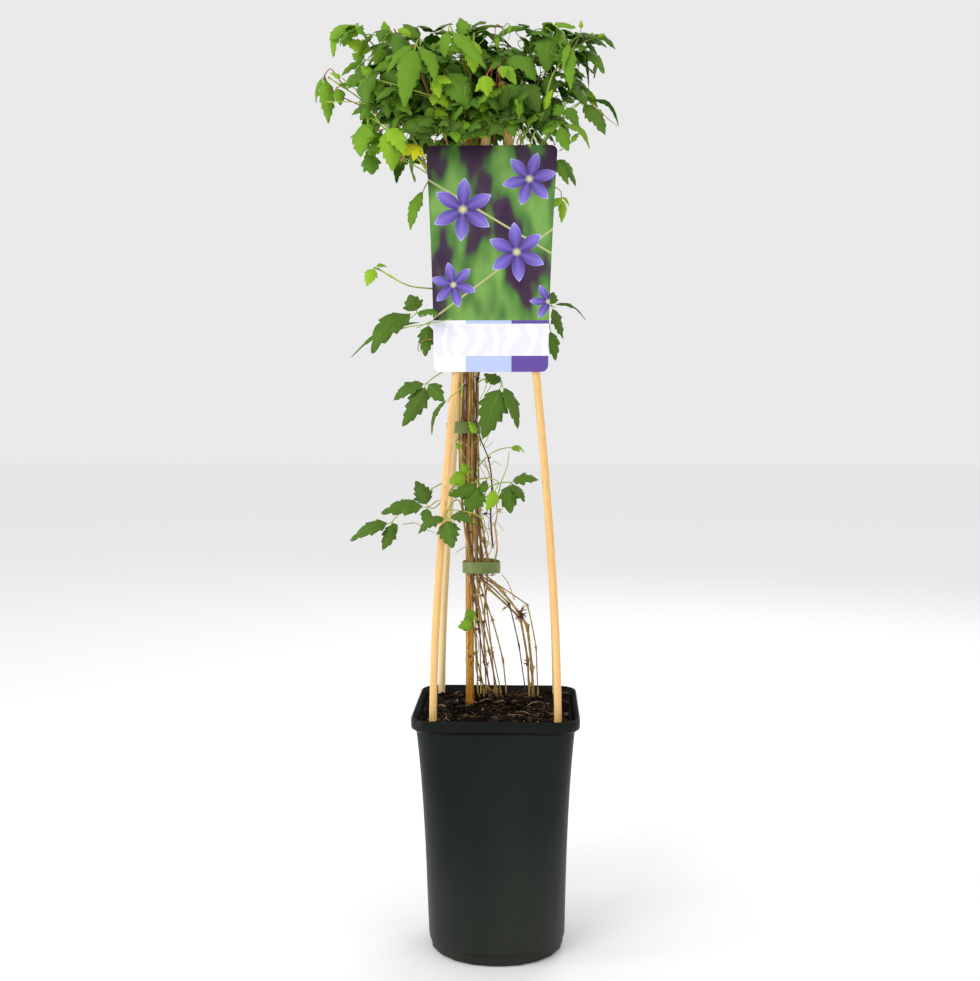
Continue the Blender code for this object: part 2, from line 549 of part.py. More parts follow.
LEAVES = (
    # stem, share of its length, hub, leaflets
    ("top_left", 0.99, (-127, 844, -2), ((-148, 814, -8, 13, 0.30, LEFT), (-139, 824, 4, 14, 0.16, FRONT),
                                         (-127, 832, 10, 4, 0.05, FRONT))),
    ("top_left", 0.93, (-111, 819, -6), ((-138, 829, -14, 12, 0.10, FRONT),)),
    ("top_left", 0.90, (-100, 827, 2), ((-102, 846, 6, 10, 0.06, FRONT), (-110, 806, -4, 14, 0.08, FRONT))),
    ("top_left", 0.84, (-119, 812, 16), ((-141, 798, 12, 7, 0.06, SKY), (-127, 789, 10, 8, 0.08, LEFT),
                                         (-131, 817, 22, 11, 0.08, LEFT))),
    ("far_left", 0.99, (-156, 799, 2), ((-164, 774, 6, 5, 0.10, LEFT), (-153, 756, -8, 14, 0.14, FRONT),
                                        (-147, 770, 12, 9, 0.10, LEFT))),
    ("far_left", 0.90, (-145, 788, -12), ((-142, 772, -16, 10, 0.10, FRONT), (-129, 789, -18, 4, 0.16, SKY))),
    ("far_left", 0.82, (-113, 796, -30), ((-124, 780, -36, 13, 0.12, FRONT), (-123, 807, -30, 9, 0.06, FRONT),
                                          (-103, 778, -32, 13, 0.10, FRONT))),
    ("far_left", 0.76, (-116, 782, -14), ((-122, 759, -18, 8, 0.12, LEFT),)),
    ("low_left", 0.99, (-117, 758, -34), ((-124, 726, -42, 22, 0.12, LEFT), (-113, 740, -26, 8, 0.06, FRONT))),
    ("low_left", 0.92, (-101, 752, -46), ((-95, 713, -54, 20, 0.12, FRONT), (-84, 728, -44, 15, 0.10, FRONT))),
    ("low_left", 0.86, (-116, 729, -22), ((-113, 710, -24, 16, 0.06, FRONT),)),
    ("low_left", 0.80, (-98, 783, -24), ((-99, 760, -30, 12, 0.08, FRONT), (-77, 763, -26, 14, 0.06, SKY))),
    ("mid_left", 0.72, (-70, 760, -30), ((-66, 737, -36, 14, 0.10, FRONT), (-79, 740, -34, 9, 0.06, LEFT))),
    ("mid_left", 0.66, (-76, 738, -14), ((-86, 727, -18, 9, 0.05, FRONT), (-66, 726, -16, 8, 0.05, FRONT),
                                         (-76, 722, -14, 9, 0.04, FRONT))),
    ("mid_left", 0.99, (-73, 826, -56), ((-84, 769, -66, 20, 0.14, FRONT), (-100, 800, -52, 12, 0.12, LEFT),
                                         (-56, 790, -60, 13, 0.14, RIGHT))),
    ("mid_left", 0.90, (-68, 829, -20), ((-85, 843, -14, 10, 0.10, SKY), (-50, 829, -24, 12, 0.12, SKY))),
    ("mid_left", 0.84, (-57, 796, -44), ((-41, 791, -50, 8, 0.06, FRONT), (-52, 778, -50, 10, 0.06, FRONT))),
    ("centre", 0.99, (-56, 784, -48), ((-58, 771, -52, 9, 0.05, FRONT), (-43, 768, -52, 9, 0.06, FRONT))),
    ("centre", 0.92, (-46, 803, -34), ((-26, 768, -44, 24, 0.12, FRONT),)),
    ("centre", 0.84, (-56, 770, -26), ((-44, 759, -34, 11, 0.06, FRONT), (-66, 758, -30, 10, 0.06, FRONT))),
    ("top", 0.99, (-26, 832, -18), ((-34, 848, -10, 13, 0.08, FRONT), (-45, 814, -28, 11, 0.10, FRONT),
                                    (-2, 825, -20, 5, 0.18, SKY))),
    ("top", 0.95, (-21, 831, -36), ((-21, 799, -42, 15, 0.08, FRONT),)),
    ("top", 0.90, (-44, 838, -2), ((-47, 813, -6, 14, 0.14, LEFT), (-10, 803, -14, 12, 0.08, FRONT))),
    ("top", 0.82, (-9, 799, -36), ((-9, 779, -42, 12, 0.08, FRONT), (-20, 783, -38, 7, 0.06, FRONT))),
    ("top", 0.76, (-38, 756, -22), ((-36, 738, -26, 10, 0.06, FRONT), (-22, 752, -24, 8, 0.06, SKY))),
    ("top_right", 0.97, (34, 837, -12), ((-6, 825, -24, 7, 0.14, SKY), (29, 812, -8, 5, 0.08, FRONT))),
    ("top_right", 0.99, (48, 836, -16), ((44, 800, -30, 24, 0.14, FRONT), (55, 811, -22, 20, 0.22, RIGHT),
                                         (82, 786, -14, 5, 0.26, SKY))),
    ("top_right", 0.90, (64, 827, -2), ((66, 784, -8, 12, 0.10, FRONT), (59, 802, 4, 8, 0.06, LEFT))),
    ("top_right", 0.80, (4, 812, -26), ((34, 791, -40, 24, 0.22, SKY), (-8, 801, -30, 6, 0.10, FRONT))),
    ("right", 0.84, (3, 806, -46), ((17, 789, -54, 10, 0.14, FRONT), (5, 795, -50, 8, 0.08, FRONT))),
    ("right", 0.80, (22, 792, -20), ((38, 764, -30, 20, 0.10, FRONT), (14, 764, -22, 14, 0.08, FRONT))),
    ("right", 0.90, (46, 799, -20), ((84, 781, -18, 5, 0.16, SKY), (48, 776, -26, 14, 0.10, FRONT))),
    ("low_right", 0.99, (75, 773, -18), ((97, 744, -24, 17, 0.14, SKY), (109, 752, -10, 5, 0.26, SKY),
                                         (64, 783, -24, 6, 0.08, SKY))),
    ("low_right", 0.93, (61, 770, -30), ((73, 752, -32, 10, 0.08, FRONT), (50, 762, -34, 12, 0.08, FRONT))),
    ("low_right", 0.88, (55, 753, -36), ((64, 730, -44, 12, 0.08, FRONT), (83, 732, -36, 7, 0.22, SKY),
                                         (40, 745, -38, 8, 0.06, FRONT))),
    ("low_right", 716, (51, 724, -14), ((64, 700, -20, 9, 0.06, FRONT), (71, 699, -12, 13, 0.10, RIGHT))),
    ("low_right", 700, (8, 758, -34), ((-8, 744, -40, 11, 0.08, FRONT), (16, 743, -40, 11, 0.08, FRONT))),
    ("spray_left", 512, (-64, 522, -30), ((-95, 506, -36, 11, 0.14, SKY), (-87, 482, -40, 14, 0.08, FRONT),
                                           (-49, 505, -36, 12, 0.10, FRONT))),
    ("spray_left", 500, (-43, 509, -56), ((-60, 474, -58, 4, 0.12, LEFT),)),
    ("spray_left", 392, (-46, 398, -62), ((-73, 383, -66, 10, 0.14, SKY), (-41, 370, -68, 15, 0.08, FRONT),
                                           (-20, 391, -60, 10, 0.18, SKY))),
    ("spray_left", 408, (-64, 408, -34), ((-75, 432, -34, 13, 0.04, FRONT), (-107, 402, -42, 14, 0.10, SKY),
                                           (-67, 392, -38, 8, 0.06, FRONT))),
    ("low_left", 420, (-97, 394, -20), ((-136, 376, -26, 13, 0.14, SKY), (-106, 368, -24, 10, 0.06, FRONT),
                                           (-93, 383, -20, 6, 0.04, FRONT))),
    ("spray_left", 0.82, (-73, 586, -30), ((-80, 602, -30, 14, 0.04, FRONT), (-115, 549, -36, 17, 0.14, SKY),
                                           (-54, 584, -26, 11, 0.08, SKY))),
    ("spray_left", 0.78, (-62, 577, -24), ((-66, 546, -28, 12, 0.06, FRONT), (-134, 545, -12, 4, 0.10, SKY))),
    ("spray_left", 0.99, (-111, 627, -24), ((-119, 610, -28, 9, 0.08, FRONT), (-100, 627, -22, 4, 0.16, SKY))),
    ("low_left", 680, (-66, 698, -18), ((-79, 660, -26, 12, 0.10, LEFT),)),
    ("centre", 424, (-17, 428, -12), ((-46, 419, -20, 10, 0.08, FRONT), (-27, 403, -20, 18, 0.08, FRONT),
                                       (-8, 425, -16, 11, 0.06, FRONT))),
    ("mid_left", 436, (-27, 438, -10), ((-45, 431, -18, 14, 0.08, FRONT),)),
    ("top", 408, (-1, 425, -8), ((-10, 405, -14, 9, 0.08, FRONT),)),
    ("spray_left", 296, (-22, 303, -4), ((-36, 296, 4, 10, 0.05, FRONT), (-28, 313, 6, 9, 0.05, FRONT))),
    ("spray_right", 500, (4, 521, -20), ((-13, 471, -28, 20, 0.10, FRONT), (19, 480, -26, 12, 0.12, RIGHT),
                                          (-12, 530, -12, 10, 0.06, SKY))),
    ("low_right", 405, (12, 431, -12), ((38, 433, -16, 11, 0.16, SKY), (12, 402, -20, 14, 0.06, FRONT),
                                           (25, 413, -14, 8, 0.06, RIGHT))),
    ("spray_right", 425, (12, 463, -6), ((21, 459, -8, 5, 0.12, SKY), (25, 458, -2, 3, 0.24, SKY))),
    ("spray_right", 0.97, (49, 592, -14), ((51, 604, -14, 9, 0.04, FRONT), (80, 579, -8, 4, 0.18, SKY),
                                           (60, 562, -20, 10, 0.08, RIGHT))),
    ("spray_right", 0.94, (48, 571, -6), ((53, 542, -8, 9, 0.06, FRONT),)),
    ("low_right", 690, (58, 689, -8), ((51, 680, -12, 7, 0.08, FRONT), (58, 666, -12, 7, 0.06, FRONT),
                                        (65, 681, -8, 3, 0.16, SKY))),
)

# How far a leaf may slide along the sight line until it clears the rest, how far its leaflets may fan
# apart, and how far down its stem its stalk may start, all in mm; past that its blades are narrower.
SLIDES = (0, 6, -6, 12, -12, 18, -18, 25, -25, 33, -33, 42, -42, 52, -52)
FANS = (0, 8, -8, 16, -16)
LOWERED = (0, 15, 30)
NARROWED = (1.0, 0.8)

# Leaves that the front view hides: a rule grows them over the back and the sides of the bush.
REST_LEAVES = 13
REST_TRIES = 900
BUSH_CENTRE = Vector((-0.020, 0.012, 0.768))
BUSH_HALF = Vector((0.094, 0.078, 0.056))
PETIOLE_REACH = (0.018, 0.075)

# Stations along a blade: share of its length, and half width as a share of its full width. The edge
# steps out to a tooth and back in to a notch.
TOOTHED = ((0.16, 0.06), (0.40, 0.50), (0.50, 0.40), (0.70, 0.32), (1.0, 0.0))
PLAIN = ((0.16, 0.09), (0.45, 0.50), (1.0, 0.0))
LARGE = 0.0125
FOLD = -0.16
STALK_LEAD = 0.006
STALK_BEHIND = (0.6, 0.2, 1.2)
STALK_STEPS = 2


class Sheet:
    """A thin sheet of triangles with its own thickness at each point, closed into one solid."""

    def __init__(self):
        self.nodes = []
        self.triangles = []

    def node(self, point, normal, half):
        self.nodes.append((point, normal, half))
        return len(self.nodes) - 1

    def solid(self):
        """Corner points and triangles, split alike on both faces."""
        count = len(self.nodes)
        points = [point + normal * half for point, normal, half in self.nodes]
        points += [point - normal * half for point, normal, half in self.nodes]
        faces = []
        edges = set()
        for a, b, c in self.triangles:
            faces.append((a, b, c))
            faces.append((c + count, b + count, a + count))
            edges.update(((a, b), (b, c), (c, a)))
        for a, b in sorted(edges):
            if (b, a) not in edges:
                faces.append((a, a + count, b + count))
                faces.append((a, b + count, b))
        return points, faces


def add_blade(sheet, right, left, hub, blade, upward, extra):
    """A blade that starts on the edge from right to left and arches toward its upper side."""
    tip, width, arch, _ = blade
    along = tip - hub
    length = along.length
    along = along / length
    side = along.cross(upward)
    half = BLADE_THICKNESS / 2 + extra
    stations = TOOTHED if width >= LARGE else PLAIN
    near = (right, None, left)
    for share, reach in stations[:-1]:
        middle = hub + along * length * share + upward * arch * length * math.sin(math.pi * share)
        drop = upward * width * reach * FOLD
        row = (sheet.node(middle + side * width * reach + drop, upward, half),
               sheet.node(middle, upward, half),
               sheet.node(middle - side * width * reach + drop, upward, half))
        if near[1] is None:
            sheet.triangles += [(near[0], row[0], row[1]), (near[0], row[1], near[2]), (near[2], row[1], row[2])]
        else:
            sheet.triangles += [(near[0], row[0], row[1]), (near[0], row[1], near[1]),
                                (near[1], row[1], row[2]), (near[1], row[2], near[2])]
        near = row
    end = sheet.node(tip, upward, half)
    sheet.triangles += [(near[0], end, near[1]), (near[1], end, near[2])]


def upper_side(hub, blade):
    """The way a blade's upper side faces, square to its length."""
    along = (blade[0] - hub).normalized()
    upward = Vector(blade[3])
    return (upward - along * upward.dot(along)).normalized()


def leaf_sheet(path, blades, extra):
    """A stalk from its root to its hub, and the blades that spread from the hub, as one sheet."""
    hub = path[-1]
    uppers = [upper_side(hub, blade) for blade in blades]
    normal = sum(uppers, Vector()).normalized()
    east = normal.orthogonal().normalized()
    north = normal.cross(east)
    arms = []
    for blade, upward in zip(blades, uppers):
        away = blade[0] - hub
        if upward.dot(normal) < 0:
            upward = -upward
            blade = (blade[0], blade[1], -blade[2], blade[3])
        arms.append((math.atan2(away.dot(north), away.dot(east)), blade, upward))
    arms.sort(key=lambda arm: arm[0])
    gaps = [(arms[(index + 1) % len(arms)][0] - arms[index][0]) % math.tau or math.tau
            for index in range(len(arms))]
    widest = gaps.index(max(gaps))
    arms.insert(widest + 1, (arms[widest][0] + gaps[widest] / 2, None, normal))
    sheet = Sheet()
    ring = []
    for index, arm in enumerate(arms):
        turn = (arms[(index + 1) % len(arms)][0] - arm[0]) % math.tau
        angle = arm[0] + turn / 2
        reach = (east * math.cos(angle) + north * math.sin(angle)) * HUB_RADIUS
        ring.append(sheet.node(hub + reach, normal, PETIOLE_RADIUS + extra))
    sheet.triangles += [(ring[0], ring[index], ring[index + 1]) for index in range(1, len(ring) - 1)]
    for index, (_, blade, upward) in enumerate(arms):
        right, left = ring[index - 1], ring[index]
        if blade:
            add_blade(sheet, right, left, hub, blade, upward, extra)
            continue
        side = sheet.nodes[right][0] - sheet.nodes[left][0]
        for spot in range(len(path) - 2, -1, -1):
            along = (path[spot] - path[spot + 1]).normalized()
            side = (side - along * side.dot(along)).normalized()
            square = side.cross(along)
            reach = side * (PETIOLE_RADIUS + extra)
            far_right = sheet.node(path[spot] + reach, square, PETIOLE_RADIUS + extra)
            far_left = sheet.node(path[spot] - reach, square, PETIOLE_RADIUS + extra)
            sheet.triangles += [(right, far_right, far_left), (right, far_left, left)]
            right, left = far_right, far_left
    return sheet


def tube_faces(points, radius):
    """Corner points and faces of a four-sided sheath round a path."""
    corners = []
    faces = []
    for index, point in enumerate(points):
        ahead = points[min(index + 1, len(points) - 1)] - points[max(index - 1, 0)]
        side = ahead.orthogonal().normalized()
        other = ahead.normalized().cross(side)
        for corner in range(4):
            angle = corner * math.pi / 2
            corners.append(point + (side * math.cos(angle) + other * math.sin(angle)) * radius)
    for index in range(len(points) - 1):
        low = index * 4
        for corner in range(4):
            after = (corner + 1) % 4
            faces.append((low + corner, low + after, low + 4 + after, low + 4 + corner))
    return corners, faces


class Claims:
    """What already takes up room, so that the next leaf can be bent clear of it."""

    def __init__(self):
        self.rows = []

    def add(self, owner, kind, whole, free=None):
        points, faces = whole
        tree = BVHTree.FromPolygons(points, faces)
        free_tree = BVHTree.FromPolygons(*free) if free else tree
        low = [min(point[axis] for point in points) for axis in range(3)]
        high = [max(point[axis] for point in points) for axis in range(3)]
        self.rows.append((owner, kind, low, high, tree, free_tree))

    def clear(self, owner, whole, free):
        """Whether a leaf meets nothing, apart from its own stem at the foot of its stalk."""
        points, faces = whole
        tree = BVHTree.FromPolygons(points, faces)
        free_tree = BVHTree.FromPolygons(*free)
        low = [min(point[axis] for point in points) for axis in range(3)]
        high = [max(point[axis] for point in points) for axis in range(3)]
        for other, kind, other_low, other_high, other_tree, other_free in self.rows:
            if any(low[axis] > other_high[axis] or high[axis] < other_low[axis] for axis in range(3)):
                continue
            if other != owner and tree.overlap(other_tree):
                return False
            if other == owner and free_tree.overlap(other_free):
                return False
        return True


def petiole_path(root, hub, ahead, blades, behind=STALK_BEHIND[0]):
    """A stalk that leaves its stem along it, bends over a crest and comes to its hub behind the blades."""
    away = sum(((blade[0] - hub).normalized() for blade in blades), Vector()) / len(blades)
    upward = sum((upper_side(hub, blade) for blade in blades), Vector()).normalized()
    back = -(away + upward * behind).normalized()
    reach = (hub - root).length
    crest = hub + back * min(STALK_LEAD, reach * 0.35)
    first = root + ahead * reach * 0.35
    second = crest + back * reach * 0.20
    path = []
    for step in range(STALK_STEPS + 1):
        t = step / STALK_STEPS
        path.append(root * (1 - t) ** 3 + first * 3 * t * (1 - t) ** 2 + second * 3 * t * t * (1 - t)
                    + crest * t ** 3)
    return path + [hub]


def keeps_clear_of_itself(path, blades):
    """Whether no two triangles of a leaf cross, apart from those that share a corner."""
    points, faces = leaf_sheet(path, blades, 0.0).solid()
    tree = BVHTree.FromPolygons(points, faces)
    return all(set(faces[one]) & set(faces[other]) for one, other in tree.overlap(tree))


def try_leaf(claims, owner, path, blades):
    """Claim the room of one leaf if nothing is in its way."""
    if not keeps_clear_of_itself(path, blades):
        return False
    whole = leaf_sheet(path, blades, ROOM).solid()
    free = leaf_sheet(path[1:], blades, ROOM).solid()
    if not claims.clear(owner, whole, free):
        return False
    claims.add(owner, "leaf", whole, free)
    return True


def stem_spot(stem, place):
    """Index on a stem of a share of its length, or of a height in mm when it is more than 1."""
    if place > 1:
        return next(index for index, point in enumerate(stem) if point.z >= place * MM)
    return int(place * (len(stem) - 1))


def laid_out_leaf(claims, stem, row):
    """The stalk and blades of one listed leaf, slid along the sight line until it is clear."""
    owner, place, hub, leaflets = row
    first_spot = stem_spot(stem, place)
    for narrow, slide, behind, lowered, fan in itertools.product(NARROWED, SLIDES, STALK_BEHIND,
                                                                 LOWERED, FANS):
        spot = first_spot - int(lowered * MM / (STEM_SPACING * STEM_STRIDE) + 0.5)
        ahead = (stem[min(spot + 1, len(stem) - 1)] - stem[max(spot - 1, 0)]).normalized()
        hub_point = seen(hub[0], hub[1], hub[2] + slide)
        blades = [(seen(x, z, depth + slide + fan * order), width * narrow * MM, arch, face)
                  for order, (x, z, depth, width, arch, face) in enumerate(leaflets)]
        path = petiole_path(stem[spot], hub_point, ahead, blades, behind)
        if try_leaf(claims, owner, path, blades):
            return owner, path, blades
    print("no room for the leaf at", owner, hub)
    return None


def grow_leaves(stems, claims):
    """Every leaf as owner, stalk and blades: the ones laid out above, then the ones the rule adds."""
    grown = [laid_out_leaf(claims, stems[row[0]], row) for row in LEAVES]
    grown = [leaf for leaf in grown if leaf]
    names = [name for name in stems if not name.startswith("spray")]
    added = 0
    for _ in range(REST_TRIES):
        if added == REST_LEAVES:
            break
        azimuth = math.radians(random_source.uniform(-20, 200))
        height = random_source.uniform(-0.7, 0.9)
        size = random_source.uniform(0.028, 0.040)
        spread = random_source.uniform(0.95, 1.25)
        level = math.sqrt(1 - height * height)
        outward = Vector((math.cos(azimuth) * level, math.sin(azimuth) * level, height))
        hub_point = BUSH_CENTRE + Vector([outward[axis] * BUSH_HALF[axis] for axis in range(3)])
        reach, owner, spot = min(((hub_point - stems[name][spot]).length, name, spot) for name in names
                                 for spot in range(len(stems[name]) // 2, len(stems[name])))
        if not PETIOLE_REACH[0] < reach < PETIOLE_REACH[1]:
            continue
        stem = stems[owner]
        ahead = (stem[min(spot + 1, len(stem) - 1)] - stem[spot - 1]).normalized()
        hang = (outward * 0.8 + Vector((0.0, 0.0, -0.75))).normalized()
        across = hang.cross(Vector((0.0, 0.0, 1.0))).normalized()
        face = outward + Vector((0.0, 0.0, 0.6))
        blades = []
        for turn, scale in ((0.0, 1.0), (spread, 0.8), (-spread, 0.8)):
            tip = hub_point + (hang * math.cos(turn) + across * math.sin(turn)) * size * scale
            blades.append((tip, size * scale * 0.38, 0.14, face))
        path = petiole_path(stem[spot], hub_point, ahead, blades)
        if try_leaf(claims, owner, path, blades):
            grown.append((owner, path, blades))
            added += 1
    return grown


def make_leaf(name, path, blades, collection):
    points, faces = leaf_sheet(path, blades, 0.0).solid()
    shape = bmesh.new()
    corners = [shape.verts.new(point) for point in points]
    for face_corners in faces:
        shape.faces.new([corners[index] for index in face_corners])
    return keep(shape, name, None, collection)


def make_vine(name, stem, leaves, finish, collection):
    """One woody stem with everything that grows on it, as one solid."""
    trunk = tube("vine_" + name, stem, STEM_RADIUS, STEM_TIP_RADIUS, 0, finish, collection)
    extras = bpy.data.collections.new("leaves_of_" + name)
    bpy.context.scene.collection.children.link(extras)
    for order, (_, path, blades) in enumerate(leaves):
        make_leaf(f"leaf_{name}_{order}", path, blades, extras)
    return fuse(trunk, extras, collection)


def posts_of(paths):
    """Points along each path close enough together to stand for it, with its radius."""
    posts = []
    for path, radius in paths:
        posts += [(point, radius) for point in even_path(path, STEM_SPACING)]
    return posts


def main():
    for part in list(bpy.data.objects):
        bpy.data.objects.remove(part)
    scene = bpy.context.scene
    plant = bpy.data.collections.new("clematis_plant_on_a_trellis")
    cutters = bpy.data.collections.new("cutters")
    scene.collection.children.link(plant)
    scene.collection.children.link(cutters)

    plastic = material("pot_plastic", (0.012, 0.022, 0.016), 0.35)
    peat = material("peat", (0.018, 0.013, 0.010), 0.95)
    wood = material("pale_wood", (0.78, 0.50, 0.24), 0.55)
    bamboo = material("cane_skin", (0.42, 0.20, 0.04), 0.45)
    strap = material("tie_plastic", (0.17, 0.28, 0.13), 0.45)
    printed = material("card_plastic", (0.55, 0.50, 0.80), 0.35)
    foliage = material("foliage", (0.07, 0.22, 0.03), 0.45)

    claims = Claims()
    paths = []
    rods = {"rod_front_left": (-1, -1), "rod_front_right": (1, -1), "rod_back_left": (-1, 1),
            "rod_back_right": (1, 1)}
    for name, (sign_x, sign_y) in rods.items():
        points = rod_points(sign_x, sign_y)
        tube(name, points, ROD_RADIUS, ROD_RADIUS, 2, wood, plant)
        claims.add(name, "wood", tube_faces(points, ROD_RADIUS * 1.1 + ROOM))
        paths.append((points, ROD_RADIUS))
    cane = [cane_axis(z) for z in (CANE_FOOT, CANE_TOP)]
    tube("cane", cane, CANE_RADIUS, CANE_RADIUS * 0.85, 2, bamboo, plant)
    claims.add("cane", "wood", tube_faces(cane, CANE_RADIUS * 1.1 + ROOM))
    paths.append((cane, CANE_RADIUS))

    make_pot(plastic, plant, cutters)
    for name, centre, half_x, half_y, low in TIES:
        make_band(name, centre, half_x, half_y, low, strap, plant)
        turns = [index * math.tau / TIE_SIDES for index in range(TIE_SIDES + 1)]
        wall = [Vector((centre[0] + half_x * math.cos(turn), centre[1] + half_y * math.sin(turn), low))
                for turn in turns]
        claims.add(name, "tie", tube_faces([point + Vector((0, 0, TIE_HEIGHT / 2)) for point in wall],
                                           TIE_HEIGHT / 2 + ROOM))
        for level in (0.0, 0.5, 1.0):
            paths.append(([point + Vector((0, 0, TIE_HEIGHT * level)) for point in wall], TIE_THICKNESS))
    make_card(printed, plant)
    corners = card_outline()
    sheet = [Vector((x, card_plane(z) + offset, z)) for offset in (-0.002, 0.001) for x, z in corners]
    count = len(corners)
    sheet_faces = [tuple(range(count)), tuple(range(count, 2 * count))]
    sheet_faces += [(index, (index + 1) % count, count + (index + 1) % count, count + index)
                    for index in range(count)]
    claims.add("label_card", "card", (sheet, sheet_faces))

    stems = {row[0]: even_path(smooth_path(stem_points(order, row), 8), STEM_SPACING)
             for order, row in enumerate(STEMS)}
    settle(stems, posts_of(paths))
    stems = {name: [stem[0]] + stem[ROOT_POINTS:-1:STEM_STRIDE] + [stem[-1]] for name, stem in stems.items()}
    for name, stem in stems.items():
        claims.add(name, "stem", tube_faces(stem, STEM_RADIUS + ROOM))
    leaves = grow_leaves(stems, claims)
    for name, stem in stems.items():
        own = [leaf for leaf in leaves if leaf[0] == name]
        make_vine(name, stem, own, foliage, plant)

    holes = [(rod_points(*signs)[0], ROD_RADIUS + GAP * 2, ROD_FOOT - GAP) for signs in rods.values()]
    holes.append((cane_axis((SOIL_TOP + CANE_FOOT) / 2), CANE_RADIUS + GAP * 8, CANE_FOOT - GAP))
    holes += [(stem[0], STEM_RADIUS + GAP * 2, ROOT_DEPTH - GAP) for stem in stems.values()]
    make_soil(peat, plant, cutters, holes)


main()
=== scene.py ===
"""Looks of the potted clematis: fine leaves, stems, soil, wood, pot and card over its fixed solids."""

import itertools
import math
import random

import bmesh
import bpy
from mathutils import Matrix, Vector, noise
from mathutils.kdtree import KDTree


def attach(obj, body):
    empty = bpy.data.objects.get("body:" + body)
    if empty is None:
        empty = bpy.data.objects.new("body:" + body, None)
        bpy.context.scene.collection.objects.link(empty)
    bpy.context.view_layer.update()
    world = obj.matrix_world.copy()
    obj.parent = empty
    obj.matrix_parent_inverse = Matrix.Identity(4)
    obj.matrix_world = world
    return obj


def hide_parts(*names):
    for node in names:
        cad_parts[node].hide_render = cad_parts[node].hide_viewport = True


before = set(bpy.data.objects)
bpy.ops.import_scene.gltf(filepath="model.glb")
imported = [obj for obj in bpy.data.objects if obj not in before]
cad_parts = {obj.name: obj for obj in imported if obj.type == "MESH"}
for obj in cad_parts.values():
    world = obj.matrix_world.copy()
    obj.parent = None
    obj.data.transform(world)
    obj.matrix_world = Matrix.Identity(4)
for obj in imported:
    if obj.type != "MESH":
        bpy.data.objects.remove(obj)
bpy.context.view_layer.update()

# Lengths are in metres, unless a name or a comment says millimetres.
MM = 0.001
GAP = 0.0003
ROOT_BODY = "root"

# The pot is a rounded square at its rim and nearly round at its base.
POT_HEIGHT = 0.226
POT_WALL = 0.0015
POT_FLOOR = 0.003
RIM_HALF = 0.075
RIM_HEIGHT = 0.0095
RIM_CHAMFER = 0.0035
BASE_HALF = 0.063
TOP_HALF = 0.0707
CORNER_TOP = 0.016
POT_FLARE = 0.75
BASE_ROUNDNESS = 0.97
CORNER_FADE = 0.6
STEP_HEIGHT = 0.010
STEP_IN = 0.0015
CORNER_STEPS = 5
DRAIN_RADIUS = 0.005
DRAIN_REACH = 0.036
DRAINS = 4

SOIL_TOP = 0.2205

# Four rods stand in the corners and bend inward until their tops meet under one tie.
ROD_RADIUS = 0.0034
ROD_FOOT = 0.166
ROD_TOP = 0.790
ROD_SPREAD = 0.0556
ROD_CLOSED = 0.0037
ROD_BEND = 1.55
ROD_POINTS = 11
ROD_UPRIGHT = 0.004

# The cane leans a little toward the front, so that it passes in front of one back rod.
CANE_X = -0.0262
CANE_Y = 0.0200
CANE_LEAN = -0.0364
CANE_RADIUS = 0.0040
CANE_FOOT = 0.120
CANE_TOP = 0.776

TIE_THICKNESS = 0.0011
TIE_HEIGHT = 0.0105
TIE_SIDES = 16
TIES = (
    # name, centre x and y, half width, half depth, height of its lower edge
    ("tie_lower", (-0.0150, 0.0118), 0.0178, 0.0174, 0.3465),
    ("tie_upper", (-0.0312, 0.0106), 0.0158, 0.0145, 0.4755),
    ("tie_top", (0.0, 0.0), 0.0146, 0.0146, 0.768),
)

CARD_TOP = (0.728, 0.111)
CARD_BOTTOM = (0.531, 0.101)
CARD_X = -0.0045
CARD_THICKNESS = 0.0008
CARD_CORNER = 0.006
CARD_STANDOFF = 0.0016
TONGUE_HEIGHT = 0.009
TONGUE_RUN = 0.0052
TONGUE_DEPTH = 0.0088
TONGUE_LEVEL = 0.600

STEM_RADIUS = 0.00115
STEM_TIP_RADIUS = 0.0007
PETIOLE_RADIUS = 0.0006

# The point from which the leaves were laid out. They slide toward it or away from it until they stand where
# the fixed solids' leaves stand.
EYE = Vector((0.033, -1.200, 0.507))
UP = Vector((0.0, 0.0, 1.0))


# Small helpers for points and meshes

def tree_of(points):
    """A search tree of points, each found again by its place in the list."""
    tree = KDTree(len(points))
    for index, point in enumerate(points):
        tree.insert(point, index)
    tree.balance()
    return tree


def seen(x, z, depth):
    """A point in mm on the plane y = 0 as the eye sees it, slid along the sight line to a depth in mm."""
    flat = Vector((x, 0.0, z)) * MM
    share = (depth * MM - EYE.y) / (flat.y - EYE.y)
    return EYE + (flat - EYE) * share


def smooth_path(points, steps):
    """Points of a Catmull-Rom curve through the given ones, with equal steps between each pair."""
    ends = [points[0] * 2 - points[1]] + list(points) + [points[-1] * 2 - points[-2]]
    path = []
    for start in range(len(points) - 1):
        before, here, there, after = ends[start:start + 4]
        for step in range(steps):
            t = step / steps
            path.append(0.5 * (here * 2 + (there - before) * t
                               + (before * 2 - here * 5 + there * 4 - after) * t * t
                               + (here * 3 - before - there * 3 + after) * t ** 3))
    path.append(points[-1].copy())
    return path


def rounded_square(half, corner):
    """Outline points of a square with round corners, counted round from the right side."""
    points = []
    for quarter in range(4):
        turn = quarter * math.pi / 2
        sign_x = 1 if quarter in (0, 3) else -1
        sign_y = 1 if quarter in (0, 1) else -1
        for step in range(CORNER_STEPS + 1):
            angle = turn + step / CORNER_STEPS * math.pi / 2
            points.append(Vector((sign_x * (half - corner) + corner * math.cos(angle),
                                  sign_y * (half - corner) + corner * math.sin(angle))))
    return points


